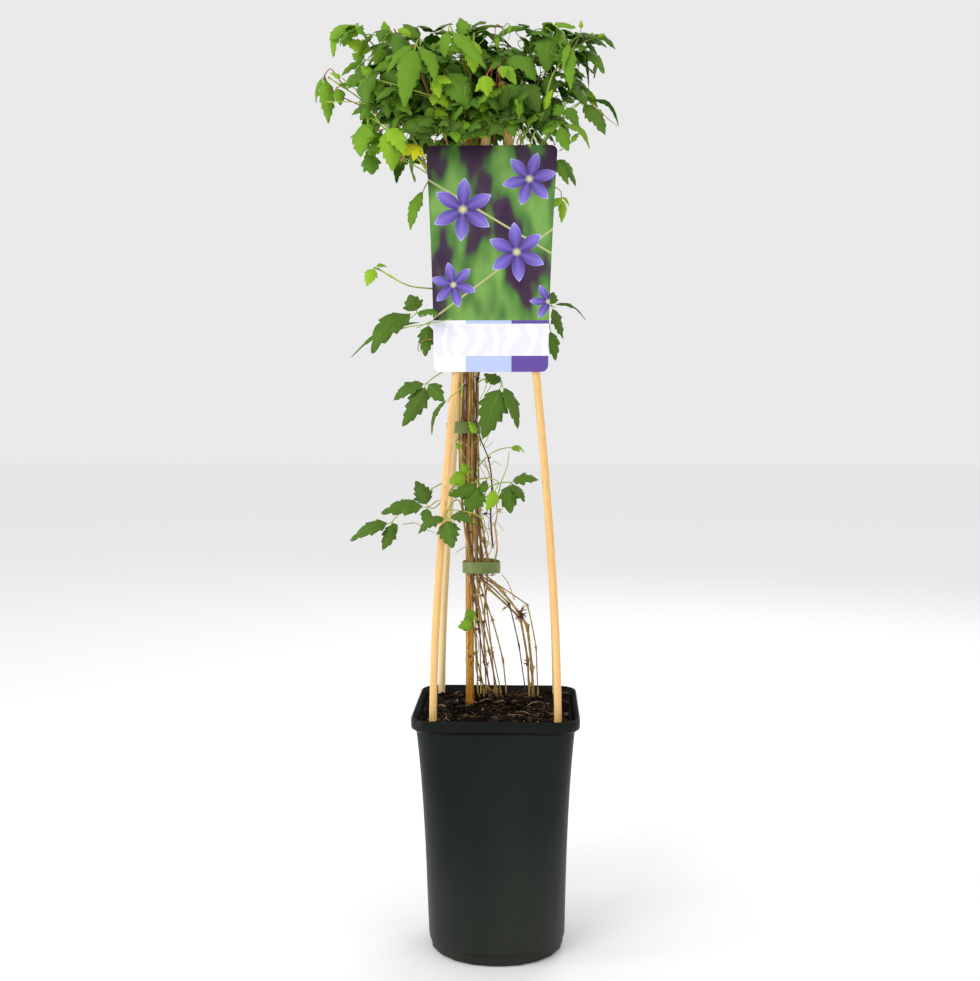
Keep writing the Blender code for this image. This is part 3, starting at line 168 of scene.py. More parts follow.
def pot_half(z):
    """Half the outer width of the pot's body at a height."""
    share = z / (POT_HEIGHT - RIM_HEIGHT)
    return BASE_HALF + (TOP_HALF - BASE_HALF) * ((1 - POT_FLARE) * share + POT_FLARE * share ** 3)


def pot_corner(z, half):
    """Corner radius, round at the base and small at the rim."""
    share = min(1.0, z / (POT_HEIGHT - RIM_HEIGHT))
    base = half * BASE_ROUNDNESS
    return base + (CORNER_TOP - base) * share ** CORNER_FADE


def rod_reach(z):
    """Distance of a rod's axis from the middle planes at a height."""
    share = min(1.0, max(0.0, (z - SOIL_TOP) / (ROD_TOP - SOIL_TOP)))
    return ROD_SPREAD + (ROD_CLOSED - ROD_SPREAD) * share ** ROD_BEND


def rod_points(sign_x, sign_y):
    """Points along a rod's axis, upright in the soil and then bent inward."""
    heights = [ROD_FOOT, SOIL_TOP - ROD_UPRIGHT]
    climb = ROD_TOP - SOIL_TOP
    heights += [SOIL_TOP + climb * (step / (ROD_POINTS - 2)) for step in range(1, ROD_POINTS - 1)]
    return [Vector((sign_x * rod_reach(z), sign_y * rod_reach(z), z)) for z in heights]


def card_plane(z):
    """Back face of the card at a height: it leans on the front rods, bowed between its two ends."""
    top, bottom = CARD_TOP[0], CARD_BOTTOM[0]
    high = -rod_reach(top) - ROD_RADIUS - CARD_STANDOFF
    low = -rod_reach(bottom) - ROD_RADIUS - CARD_STANDOFF
    return low + (high - low) * (z - bottom) / (top - bottom)


# Stems. Each runs from its own hole, through its slot in the lower tie and round the cane, in one
# order all the way, and then out to its own part of the bush. Angles are in degrees about the cane,
# 0 to the right and 90 to the back; free points are x, depth and height in mm.
ROOT_HEIGHTS = (0.192, 0.206, SOIL_TOP + 0.003)
LEAN_HEIGHT = SOIL_TOP + 0.013
ROOT_LEAN = 0.06
TIE_LEVEL = 0.3515
TIE_RUN = 0.010
SLOT_FIRST = -96.0
SLOT_SWEEP = 128.0
SLOT_REACH = (0.0074, 0.0122, 0.0170)
BUNDLE_REACH = (0.0064, 0.0087)
BUNDLE_LOW = 0.425
BUNDLE_TWIST = 30.0
TWIST_CLIMB = 0.25
OUTWARD_BEND = 0.004
STEM_ROOM = 0.0015
STEM_SPACING = 0.003
STEM_STRIDE = 7
ROOT_POINTS = 11
SETTLE_ROUNDS = 60
ROOTED_BELOW = SOIL_TOP + 0.004
STEM_PUSH = 0.35
POST_PUSH = 0.5

STEMS = (
    # name, root x and y, point under the tie, angle in the bundle, height it leaves at, free points
    ("low_left", (-9, 47), (-16, 14, 300), -172, 640,
     ((-44, 0, 690), (-72, -22, 722), (-98, -32, 744), (-110, -32, 760))),
    ("spray_left", (-14, 43), (-20, 25, 262), -146, 560,
     ((-42, 6, 600), (-55, -8, 606), (-80, -18, 609), (-107, -20, 624))),
    ("mid_left", (-6, 43), (-15, 26, 270), -120, 680,
     ((-38, -2, 716), (-52, -24, 758), (-66, -36, 790), (-72, -42, 814))),
    ("centre", (-2, 47), (-9, 28, 272), -94, 690,
     ((-26, -4, 722), (-36, -22, 752), (-46, -34, 782))),
    ("top", (2, 50), (-6, 32, 270), -68, 700,
     ((-20, 2, 740), (-24, -10, 785), (-26, -14, 822))),
    ("spray_right", (26, 45), (12, 22, 312), -42, 520,
     ((-8, 4, 560), (6, 0, 600), (30, -8, 604), (47, -14, 590))),
    ("low_right", (30, 48), (21, 30, 300), -16, 640,
     ((2, 8, 680), (28, -2, 716), (52, -12, 748), (74, -14, 770))),
    ("right", (34, 45), (24, 22, 306), 10, 660,
     ((-6, 9, 688), (12, 5, 718), (28, -4, 752), (48, -16, 786), (66, -14, 814))),
    ("top_right", (38, 49), (30, 37, 308), 36, 668,
     ((-10, 2, 700), (8, -1, 735), (20, 4, 775), (32, 2, 812), (47, -6, 832))),
    ("back_right", (8, 54), (0, 38, 280), 62, 640,
     ((-10, 20, 668), (6, 38, 712), (24, 50, 752), (42, 52, 786))),
    ("back", (-4, 55), (-8, 40, 285), 88, 660,
     ((-24, 46, 720), (-22, 62, 770), (-26, 56, 812))),
    ("back_left", (-12, 53), (-14, 42, 285), 114, 640,
     ((-42, 42, 700), (-66, 52, 745), (-86, 48, 786))),
    ("top_left", (-17, 49), (-18, 40, 300), 140, 650,
     ((-50, 26, 712), (-76, 20, 764), (-100, 8, 812), (-124, 2, 838))),
    ("far_left", (-20, 56), (-22, 42, 300), 166, 640,
     ((-50, 10, 690), (-84, 2, 740), (-118, -6, 772), (-152, -4, 796))),
)


def cane_axis(z):
    """The middle of the cane at a height."""
    return Vector((CANE_X, CANE_Y + CANE_LEAN * (z - SOIL_TOP), z))


def about_cane(reach, angle, z):
    """A point at a distance from the cane's middle, in a direction in degrees."""
    turn = math.radians(angle)
    return cane_axis(z) + Vector((math.cos(turn), math.sin(turn), 0.0)) * reach


def stem_points(order, row):
    """Control points of one stem."""
    _, root, under, angle, leave, free = row
    slot_angle = SLOT_FIRST + SLOT_SWEEP * order / (len(STEMS) - 1)
    slot_reach = SLOT_REACH[order % 3]
    bundle_reach = BUNDLE_REACH[order % 2]
    foot = Vector((root[0] * MM, root[1] * MM, 0.0))
    lean = (Vector(under) * MM - foot) * ROOT_LEAN
    points = [foot + Vector((0.0, 0.0, z)) for z in ROOT_HEIGHTS]
    points += [foot + Vector((lean.x, lean.y, LEAN_HEIGHT)), Vector(under) * MM,
               about_cane(slot_reach, slot_angle, TIE_LEVEL - TIE_RUN),
               about_cane(slot_reach, slot_angle, TIE_LEVEL + TIE_RUN),
               about_cane((slot_reach + bundle_reach) / 2, (slot_angle + angle) / 2,
                          (TIE_LEVEL + BUNDLE_LOW) / 2 + OUTWARD_BEND)]
    climb = leave * MM - BUNDLE_LOW
    for share in (0.0, 0.5, 1.0):
        z = BUNDLE_LOW + climb * share
        points.append(about_cane(bundle_reach, angle + BUNDLE_TWIST * (z - BUNDLE_LOW) / TWIST_CLIMB, z))
    return points + [Vector(point) * MM for point in free]


def even_path(points, spacing):
    """The same path with its points a fixed distance apart."""
    path = [points[0].copy()]
    carried = 0.0
    for here, there in zip(points, points[1:]):
        run = (there - here).length
        reach = spacing - carried
        while reach <= run:
            path.append(here.lerp(there, reach / run))
            reach += spacing
        carried = run - (reach - spacing)
    path.append(points[-1].copy())
    return path


def settle(stems, posts):
    """Push the stems apart, and off the posts, until each has its own room; the roots stay put."""
    post_tree = tree_of([point for point, _ in posts])
    widest = max(radius for _, radius in posts) + STEM_RADIUS + STEM_ROOM
    room = STEM_RADIUS * 2 + STEM_ROOM
    for _ in range(SETTLE_ROUNDS):
        tree = tree_of([point for stem in stems.values() for point in stem])
        owners = [name for name, stem in stems.items() for _ in stem]
        for name, stem in stems.items():
            pushes = [Vector() for _ in stem]
            for index, point in enumerate(stem):
                if point.z < ROOTED_BELOW:
                    continue
                for other, found, distance in tree.find_range(point, room):
                    if owners[found] != name and distance > 0:
                        pushes[index] += (point - other) / distance * (room - distance) * STEM_PUSH
                for other, found, distance in post_tree.find_range(point, widest):
                    lack = posts[found][1] + STEM_RADIUS + STEM_ROOM - distance
                    if lack > 0 and distance > 0:
                        pushes[index] += (point - other) / distance * lack * POST_PUSH
            for index in range(1, len(stem) - 1):
                if stem[index].z >= ROOTED_BELOW:
                    stem[index] += pushes[index] * 0.5 + (pushes[index - 1] + pushes[index + 1]) * 0.25


# Leaves. Each row is a petiole from a stem to a hub, and the leaflets on it. Places are in mm as the
# front view shows them, with a depth: hub x, z, depth, then for each leaflet its tip's x, z, depth,
# its width, how far it arches as a share of its length, and the way its upper side faces.
FRONT = (0.0, -1.0, 0.35)
SKY = (0.0, -0.25, 1.0)
LEFT = (-0.8, -0.5, 0.5)
RIGHT = (0.8, -0.5, 0.5)

LEAVES = (
    # stem, share of its length or height in mm, tone, hub, leaflets
    ("top_left", 0.99, 0.56, (-127, 844, -2),
     ((-148, 814, -8, 13, 0.30, LEFT), (-139, 824, 4, 14, 0.16, FRONT),
      (-127, 832, 10, 4, 0.05, FRONT))),
    ("top_left", 0.93, 0.79, (-111, 819, -6), ((-138, 829, -14, 12, 0.10, FRONT),)),
    ("top_left", 0.90, 0.54, (-100, 827, 2),
     ((-102, 846, 6, 10, 0.06, FRONT), (-110, 806, -4, 14, 0.08, FRONT))),
    ("top_left", 0.84, 0.5, (-119, 812, 16),
     ((-141, 798, 12, 7, 0.06, SKY), (-127, 789, 10, 8, 0.08, LEFT), (-131, 817, 22, 11, 0.08, LEFT))),
    ("far_left", 0.99, 0.56, (-156, 799, 2),
     ((-164, 774, 6, 5, 0.10, LEFT), (-153, 756, -8, 14, 0.14, FRONT), (-147, 770, 12, 9, 0.10, LEFT))),
    ("far_left", 0.90, 0.4, (-145, 788, -12),
     ((-142, 772, -16, 10, 0.10, FRONT), (-129, 789, -18, 4, 0.16, SKY))),
    ("far_left", 0.82, 0.6, (-113, 796, -30),
     ((-124, 780, -36, 13, 0.12, FRONT), (-123, 807, -30, 9, 0.06, FRONT),
      (-103, 778, -32, 13, 0.10, FRONT))),
    ("far_left", 0.76, 0.3, (-116, 782, -14), ((-122, 759, -18, 8, 0.12, LEFT),)),
    ("low_left", 0.99, 0.54, (-117, 758, -34),
     ((-124, 726, -42, 22, 0.12, LEFT), (-113, 740, -26, 8, 0.06, FRONT))),
    ("low_left", 0.92, 0.74, (-101, 752, -46),
     ((-95, 713, -54, 20, 0.12, FRONT), (-84, 728, -44, 15, 0.10, FRONT))),
    ("low_left", 0.86, 0.35, (-116, 729, -22), ((-113, 710, -24, 16, 0.06, FRONT),)),
    ("low_left", 0.80, 0.4, (-98, 783, -24),
     ((-99, 760, -30, 12, 0.08, FRONT), (-77, 763, -26, 14, 0.06, SKY))),
    ("mid_left", 0.72, 0.18, (-70, 760, -30),
     ((-66, 737, -36, 14, 0.10, FRONT), (-79, 740, -34, 9, 0.06, LEFT))),
    ("mid_left", 0.66, 1.1, (-76, 738, -14),
     ((-86, 727, -18, 9, 0.05, FRONT), (-66, 726, -16, 8, 0.05, FRONT),
      (-76, 722, -14, 9, 0.04, FRONT))),
    ("mid_left", 0.99, 0.42, (-73, 826, -56),
     ((-84, 769, -66, 20, 0.14, FRONT), (-100, 800, -52, 12, 0.12, LEFT),
      (-56, 790, -60, 13, 0.14, RIGHT))),
    ("mid_left", 0.90, 0.25, (-68, 829, -20),
     ((-85, 843, -14, 10, 0.10, SKY), (-50, 829, -24, 12, 0.12, SKY))),
    ("mid_left", 0.84, 0.85, (-57, 796, -44),
     ((-41, 791, -50, 8, 0.06, FRONT), (-52, 778, -50, 10, 0.06, FRONT))),
    ("centre", 0.99, 0.85, (-56, 784, -48),
     ((-58, 771, -52, 9, 0.05, FRONT), (-43, 768, -52, 9, 0.06, FRONT))),
    ("centre", 0.92, 0.35, (-46, 803, -34), ((-26, 768, -44, 24, 0.12, FRONT),)),
    ("centre", 0.84, 0.6, (-56, 770, -26),
     ((-44, 759, -34, 11, 0.06, FRONT), (-66, 758, -30, 10, 0.06, FRONT))),
    ("top", 0.99, 0.55, (-26, 832, -18),
     ((-34, 848, -10, 13, 0.08, FRONT), (-45, 814, -28, 11, 0.10, FRONT),
      (-2, 825, -20, 5, 0.18, SKY))),
    ("top", 0.95, 0.8, (-21, 831, -36), ((-21, 799, -42, 15, 0.08, FRONT),)),
    ("top", 0.90, 0.4, (-44, 838, -2),
     ((-47, 813, -6, 14, 0.14, LEFT), (-10, 803, -14, 12, 0.08, FRONT))),
    ("top", 0.82, 0.85, (-9, 799, -36),
     ((-9, 779, -42, 12, 0.08, FRONT), (-20, 783, -38, 7, 0.06, FRONT))),
    ("top", 0.76, 0.65, (-38, 756, -22),
     ((-36, 738, -26, 10, 0.06, FRONT), (-22, 752, -24, 8, 0.06, SKY))),
    ("top_right", 0.97, 0.3, (34, 837, -12),
     ((-6, 825, -24, 7, 0.14, SKY), (29, 812, -8, 5, 0.08, FRONT))),
    ("top_right", 0.99, 0.3, (48, 836, -16),
     ((44, 800, -30, 24, 0.14, FRONT), (55, 811, -22, 20, 0.22, RIGHT), (82, 786, -14, 5, 0.26, SKY))),
    ("top_right", 0.90, 0.5, (64, 827, -2),
     ((66, 784, -8, 12, 0.10, FRONT), (59, 802, 4, 8, 0.06, LEFT))),
    ("top_right", 0.80, 0.4, (4, 812, -26),
     ((34, 791, -40, 24, 0.22, SKY), (-8, 801, -30, 6, 0.10, FRONT))),
    ("right", 0.84, 0.65, (3, 806, -46),
     ((17, 789, -54, 10, 0.14, FRONT), (5, 795, -50, 8, 0.08, FRONT))),
    ("right", 0.80, 0.1, (22, 792, -20),
     ((38, 764, -30, 20, 0.10, FRONT), (14, 764, -22, 14, 0.08, FRONT))),
    ("right", 0.90, 0.2, (46, 799, -20),
     ((84, 781, -18, 5, 0.16, SKY), (48, 776, -26, 14, 0.10, FRONT))),
    ("low_right", 0.99, 0.2, (75, 773, -18),
     ((97, 744, -24, 17, 0.14, SKY), (109, 752, -10, 5, 0.26, SKY), (64, 783, -24, 6, 0.08, SKY))),
    ("low_right", 0.93, 0.35, (61, 770, -30),
     ((73, 752, -32, 10, 0.08, FRONT), (50, 762, -34, 12, 0.08, FRONT))),
    ("low_right", 0.88, 0.45, (55, 753, -36),
     ((64, 730, -44, 12, 0.08, FRONT), (83, 732, -36, 7, 0.22, SKY), (40, 745, -38, 8, 0.06, FRONT))),
    ("low_right", 716, 0.15, (51, 724, -14),
     ((64, 700, -20, 9, 0.06, FRONT), (71, 699, -12, 13, 0.10, RIGHT))),
    ("low_right", 700, 0.2, (8, 758, -34),
     ((-8, 744, -40, 11, 0.08, FRONT), (16, 743, -40, 11, 0.08, FRONT))),
    ("spray_left", 512, 0.06, (-64, 522, -30),
     ((-95, 506, -36, 11, 0.14, SKY), (-87, 482, -40, 14, 0.08, FRONT),
      (-49, 505, -36, 12, 0.10, FRONT))),
    ("spray_left", 500, 0.03, (-43, 509, -56), ((-60, 474, -58, 4, 0.12, LEFT),)),
    ("spray_left", 392, 0.06, (-46, 398, -62),
     ((-73, 383, -66, 10, 0.14, SKY), (-41, 370, -68, 15, 0.08, FRONT),
      (-20, 391, -60, 10, 0.18, SKY))),
    ("spray_left", 408, 0.06, (-64, 408, -34),
     ((-75, 432, -34, 13, 0.04, FRONT), (-107, 402, -42, 14, 0.10, SKY),
      (-67, 392, -38, 8, 0.06, FRONT))),
    ("low_left", 420, 0.14, (-97, 394, -20),
     ((-136, 376, -26, 13, 0.14, SKY), (-106, 368, -24, 10, 0.06, FRONT),
      (-93, 383, -20, 6, 0.04, FRONT))),
    ("spray_left", 0.82, 0.09, (-73, 586, -30),
     ((-80, 602, -30, 14, 0.04, FRONT), (-115, 549, -36, 17, 0.14, SKY),
      (-54, 584, -26, 11, 0.08, SKY))),
    ("spray_left", 0.78, 0.09, (-62, 577, -24),
     ((-66, 546, -28, 12, 0.06, FRONT), (-134, 545, -12, 4, 0.10, SKY))),
    ("spray_left", 0.99, 0.8, (-111, 627, -24),
     ((-119, 610, -28, 9, 0.08, FRONT), (-100, 627, -22, 4, 0.16, SKY))),
    ("low_left", 680, 0.45, (-66, 698, -18), ((-79, 660, -26, 12, 0.10, LEFT),)),
    ("centre", 424, 0.14, (-17, 428, -12),
     ((-46, 419, -20, 10, 0.08, FRONT), (-27, 403, -20, 18, 0.08, FRONT),
      (-8, 425, -16, 11, 0.06, FRONT))),
    ("mid_left", 436, 0.75, (-27, 438, -10), ((-45, 431, -18, 14, 0.08, FRONT),)),
    ("top", 408, 0.8, (-1, 425, -8), ((-10, 405, -14, 9, 0.08, FRONT),)),
    ("spray_left", 296, 0.45, (-22, 303, -4),
     ((-36, 296, 4, 10, 0.05, FRONT), (-28, 313, 6, 9, 0.05, FRONT))),
    ("spray_right", 500, 0.06, (4, 521, -20),
     ((-13, 471, -28, 20, 0.10, FRONT), (19, 480, -26, 12, 0.12, RIGHT),
      (-12, 530, -12, 10, 0.06, SKY))),
    ("low_right", 405, 0.09, (12, 431, -12),
     ((38, 433, -16, 11, 0.16, SKY), (12, 402, -20, 14, 0.06, FRONT), (25, 413, -14, 8, 0.06, RIGHT))),
    ("spray_right", 425, 0.75, (12, 463, -6),
     ((21, 459, -8, 5, 0.12, SKY), (25, 458, -2, 3, 0.24, SKY))),
    ("spray_right", 0.97, 0.04, (49, 592, -14),
     ((51, 604, -14, 9, 0.04, FRONT), (80, 579, -8, 4, 0.18, SKY), (60, 562, -20, 10, 0.08, RIGHT))),
    ("spray_right", 0.94, 0.04, (48, 571, -6), ((53, 542, -8, 9, 0.06, FRONT),)),
    ("low_right", 690, 0.8, (58, 689, -8),
     ((51, 680, -12, 7, 0.08, FRONT), (58, 666, -12, 7, 0.06, FRONT), (65, 681, -8, 3, 0.16, SKY))),
)

# How far a leaf may slide along the sight line until it stands where the fixed solids' leaf stands, how far
# its leaflets may fan apart, and how far down its stem its stalk may start, all in mm; past that its blades
# are narrower.
SLIDES = (0, 6, -6, 12, -12, 18, -18, 25, -25, 33, -33, 42, -42, 52, -52)
FANS = (0, 8, -8, 16, -16)
LOWERED = (0, 15, 30)
NARROWED = (1.0, 0.8)

# Leaves that the front view hides: a rule grows them over the back and the sides of the bush.
REST_LEAVES = 13
REST_TRIES = 900
BUSH_CENTRE = Vector((-0.020, 0.012, 0.768))
BUSH_HALF = Vector((0.094, 0.078, 0.056))
PETIOLE_REACH = (0.018, 0.075)
REST_SIDE_SHARE = 0.8
REST_PLUMP = 0.38
REST_ARCH = 0.14
REST_TONE_LOW = 0.28
REST_TONE_SPAN = 0.3

STALK_LEAD = 0.006
STALK_BEHIND = (0.6, 0.2, 1.2)
FOLD = -0.16
CREST_SHARE = 0.35
ROOT_PULL = 0.35
CREST_PULL = 0.20
STALK_POINTS = 9

# How near the fixed solids' corners a leaf's tips and the ends of its stalk lie when it stands there.
TIP_REACH = 0.0005
CREST_REACH = 0.0010
ROOT_REACH = 0.0015


def upper_side(hub, blade):
    """The way a blade's upper side faces, square to its length."""
    along = (blade[0] - hub).normalized()
    upward = Vector(blade[3])
    return (upward - along * upward.dot(along)).normalized()


def turned_uppers(hub, blades):
    """The way each blade's upper side faces once all of them face the same side of the leaf."""
    uppers = [upper_side(hub, blade) for blade in blades]
    normal = sum(uppers, Vector()).normalized()
    return [(-upward, -blade[2]) if upward.dot(normal) < 0 else (upward, blade[2])
            for upward, blade in zip(uppers, blades)]


def petiole_path(root, hub, ahead, blades, behind, steps):
    """A stalk that leaves its stem along it, bends over a crest and comes to its hub behind the blades."""
    away = sum(((blade[0] - hub).normalized() for blade in blades), Vector()) / len(blades)
    upward = sum((upper_side(hub, blade) for blade in blades), Vector()).normalized()
    back = -(away + upward * behind).normalized()
    reach = (hub - root).length
    crest = hub + back * min(STALK_LEAD, reach * CREST_SHARE)
    first = root + ahead * reach * ROOT_PULL
    second = crest + back * reach * CREST_PULL
    path = []
    for step in range(steps + 1):
        t = step / steps
        path.append(root * (1 - t) ** 3 + first * 3 * t * (1 - t) ** 2 + second * 3 * t * t * (1 - t)
                    + crest * t ** 3)
    return path + [hub]


def stem_spot(stem, place):
    """Index on a stem of a share of its length, or of a height in mm when it is more than 1."""
    if place > 1:
        return next(index for index, point in enumerate(stem) if point.z >= place * MM)
    return int(place * (len(stem) - 1))


def posts_of(paths):
    """Points along each path close enough together to stand for it, with its radius."""
    posts = []
    for path, radius in paths:
        posts += [(point, radius) for point in even_path(path, STEM_SPACING)]
    return posts


def heading(stem, spot):
    """The way a stem runs at one of its points."""
    return (stem[min(spot + 1, len(stem) - 1)] - stem[max(spot - 1, 0)]).normalized()


def fanned(hub, hang, across, spread, size, side_share):
    """Tip and length of three leaflets: one along the hang, and a shorter one turned to each side."""
    rows = []
    for turn, scale in ((0.0, 1.0), (spread, side_share), (-spread, side_share)):
        rows.append((hub + (hang * math.cos(turn) + across * math.sin(turn)) * size * scale, size * scale))
    return rows


def stands_at(tree, blades, path):
    """Whether a leaf with these tips, and then with this stalk, is among the fixed solid's corners."""
    tips = all(tree.find(blade[0])[2] < TIP_REACH for blade in blades)
    crest, root = tree.find(path[-2])[2], tree.find(path[1])[2]
    return tips, tips and crest < CREST_REACH and root < ROOT_REACH


def laid_out_leaf(tree, stem, row):
    """Where one listed leaf stands on its stem: smooth stalk, blades and tone."""
    _, place, tone, hub, leaflets = row
    first_spot = stem_spot(stem, place)
    found = None
    for narrow, slide, behind, lowered, fan in itertools.product(NARROWED, SLIDES, STALK_BEHIND,
                                                                 LOWERED, FANS):
        hub_point = seen(hub[0], hub[1], hub[2] + slide)
        blades = [(seen(x, z, depth + slide + fan * order), width * narrow * MM, arch, face)
                  for order, (x, z, depth, width, arch, face) in enumerate(leaflets)]
        if tree.find(blades[0][0])[2] > TIP_REACH:
            continue
        spot = first_spot - int(lowered * MM / (STEM_SPACING * STEM_STRIDE) + 0.5)
        ahead = heading(stem, spot)
        tips, stalk = stands_at(tree, blades, petiole_path(stem[spot], hub_point, ahead, blades, behind, 2))
        if tips and (stalk or not found):
            fine = petiole_path(stem[spot], hub_point, ahead, blades, behind, STALK_POINTS)
            found = (fine, blades, tone)
        if stalk:
            break
    return found


def rule_leaf(stems, names, size, azimuth, height, spread):
    """One leaf that the rule hangs outside the bush, as its owner, stalk and blades."""
    level = math.sqrt(1 - height * height)
    outward = Vector((math.cos(azimuth) * level, math.sin(azimuth) * level, height))
    hub = BUSH_CENTRE + Vector([outward[axis] * BUSH_HALF[axis] for axis in range(3)])
    reach, owner, spot = min(((hub - stems[name][spot]).length, name, spot) for name in names
                             for spot in range(len(stems[name]) // 2, len(stems[name])))
    if not PETIOLE_REACH[0] < reach < PETIOLE_REACH[1]:
        return None
    hang = (outward * 0.8 + Vector((0.0, 0.0, -0.75))).normalized()
    across = hang.cross(UP).normalized()
    face = outward + Vector((0.0, 0.0, 0.6))
    blades = [(tip, length * REST_PLUMP, REST_ARCH, face)
              for tip, length in fanned(hub, hang, across, spread, size, REST_SIDE_SHARE)]
    ahead = heading(stems[owner], spot)
    stalk = petiole_path(stems[owner][spot], hub, ahead, blades, STALK_BEHIND[0], STALK_POINTS)
    return owner, stalk, blades


def find_leaves(stems, trees):
    """Every leaf of the fixed solids, by owner: stalk, blades and tone."""
    found = {name: [] for name in stems}
    for row in LEAVES:
        leaf = laid_out_leaf(trees[row[0]], stems[row[0]], row)
        if leaf:
            found[row[0]].append(leaf)
    draw = random.Random(41)
    names = [name for name in stems if not name.startswith("spray")]
    added = 0
    for _ in range(REST_TRIES):
        if added == REST_LEAVES:
            break
        azimuth = math.radians(draw.uniform(-20, 200))
        height = draw.uniform(-0.7, 0.9)
        size = draw.uniform(0.028, 0.040)
        spread = draw.uniform(0.95, 1.25)
        leaf = rule_leaf(stems, names, size, azimuth, height, spread)
        if leaf and all(trees[leaf[0]].find(blade[0])[2] < TIP_REACH for blade in leaf[2]):
            owner, stalk, blades = leaf
            found[owner].append((stalk, blades, REST_TONE_LOW + REST_TONE_SPAN * (added % 3) / 2))
            added += 1
    return found


# Leaves as the eye sees them: a grid for each blade, with a toothed edge, a fold and a ripple
FINE_GRID = (26, 6)
COARSE_GRID = (14, 2)
BLADE_START = 0.10
BLADE_WALL = 0.00035
FILL_GAIN = 1.22
BUSH_GAIN = 1.12
LOW_GAIN = 1.36
EYE_LEAN = 0.8
TOOTH_START = 0.22
TOOTH_LEAN = 0.030
EVEN_PHASE = 0.6
WIDEST_AT = 0.34
LARGE_BLADE = 0.0125
LOBED_BELOW = 0.64


def tooth_phase(share, teeth):
    """How far a place on a blade's edge is along its own tooth: 0 at the notch, nearly 1 at the point."""
    if share <= TOOTH_START:
        return EVEN_PHASE
    return (share - TOOTH_START) / (1.0 - TOOTH_START) * teeth % 1.0


def blade_outline(share, phase, depth):
    """Half width of a blade, as a share of its full width, at a share of its own length."""
    if share >= 1.0:
        return 0.0
    if share < WIDEST_AT:
        body = 0.5 * math.sin(math.pi / 2 * share / WIDEST_AT) ** 0.75
    else:
        taper = (share - WIDEST_AT) / (1.0 - WIDEST_AT)
        body = 0.5 * (1.0 - taper) ** 0.85 * (1.0 + 0.42 * taper)
    return body * (1.0 + depth * (phase - EVEN_PHASE))


def leaned(hub, along, upward):
    """The side a laid out blade shows: turned about its length, part of the way to the eye."""
    toward = (EYE - hub).normalized()
    if upward.dot(toward) < 0:
        toward = -toward
    facing = upward + toward * EYE_LEAN
    return (facing - along * facing.dot(along)).normalized()


# How a blade ripples at its edge and bulges between its veins, as shares of its width
RIPPLE = 0.045
RIPPLE_BEAT = 17
BULGE = 0.06
BULGES = 6


def blade_cut(draw, hub, length, width, coarse):
    """How a blade's edge is cut: its full width, the number of its teeth and their depth."""
    if coarse:
        return width * FILL_GAIN, 3, draw.choice((0.14, 0.28, 0.42))
    if hub.z < LOBED_BELOW:
        return width * LOW_GAIN, draw.choice((3, 4)), 0.42
    width *= BUSH_GAIN
    deep = draw.uniform(0.26, 0.40) if width > LARGE_BLADE else draw.uniform(0.20, 0.34)
    return width, max(3, min(5, round(length / 0.008))), deep


def add_blade(shape, hub, blade, upward, arch, tone, draw, grid_size=FINE_GRID):
    """One leaflet as a grid bent to its outline, arch and fold."""
    along = blade[0] - hub
    length = along.length
    along = along / length
    coarse = grid_size == COARSE_GRID
    width, teeth, depth = blade_cut(draw, hub, length, blade[1], coarse)
    facing = upward if coarse else leaned(hub, along, upward)
    side = along.cross(facing)
    wave = draw.uniform(0, math.tau)
    lean = draw.uniform(-0.06, 0.06)
    twist = draw.uniform(-0.35, 0.35)
    fold = draw.uniform(0.8, 2.2) * FOLD
    grid = bmesh.ops.create_grid(shape, x_segments=grid_size[0], y_segments=grid_size[1], size=1.0)
    uv = shape.loops.layers.uv.verify()
    tone_layer = shape.verts.layers.float["tone"]
    places = {}
    for vert in grid["verts"]:
        own = (vert.co.x + 1) / 2
        across = vert.co.y
        places[vert] = (own, across)
        phase = tooth_phase(own, teeth)
        half = width * blade_outline(own, phase, depth)
        share = BLADE_START + (1 - BLADE_START) * own + across * across * phase * TOOTH_LEAN * (1.0 - own)
        arc = math.sin(math.pi * share)
        bend = lean * length * arc
        rise = arch * length * arc
        drop = half * abs(across) ** 1.2 * fold
        turn = half * across * twist * own
        ripple = width * RIPPLE * math.sin(own * RIPPLE_BEAT + wave + across * 1.5) * across * across
        beat = abs(math.sin(math.pi * BULGES * (own - 0.18 * abs(across))))
        bulge = half * BULGE * beat * (1 - across * across)
        vert.co = (hub + along * length * share + side * (half * across + bend)
                   + upward * rise + facing * (drop + turn + ripple + bulge))
        vert[tone_layer] = tone
    for face in {face for vert in grid["verts"] for face in vert.link_faces}:
        face.smooth = True
        for loop in face.loops:
            own, across = places[loop.vert]
            loop[uv].uv = (own, across / 2 + 0.5)


def new_object(name, data):
    """Put a mesh, a curve, a light or a camera in the scene."""
    placed = bpy.data.objects.new(name, data)
    bpy.context.scene.collection.objects.link(placed)
    return placed


def new_piece(name, data, materials, slot, *nodes):
    """Put a finished mesh or curve in the scene, riding on the fixed frame."""
    piece = new_object(name, data)
    for finish in materials:
        if finish.name not in data.materials:
            data.materials.append(finish)
    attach(piece, ROOT_BODY)
    if nodes:
        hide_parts(*nodes)
    return piece


def mesh_from(shape, name):
    """A mesh with the shape that was being edited."""
    mesh = bpy.data.meshes.new(name)
    shape.to_mesh(mesh)
    shape.free()
    return mesh


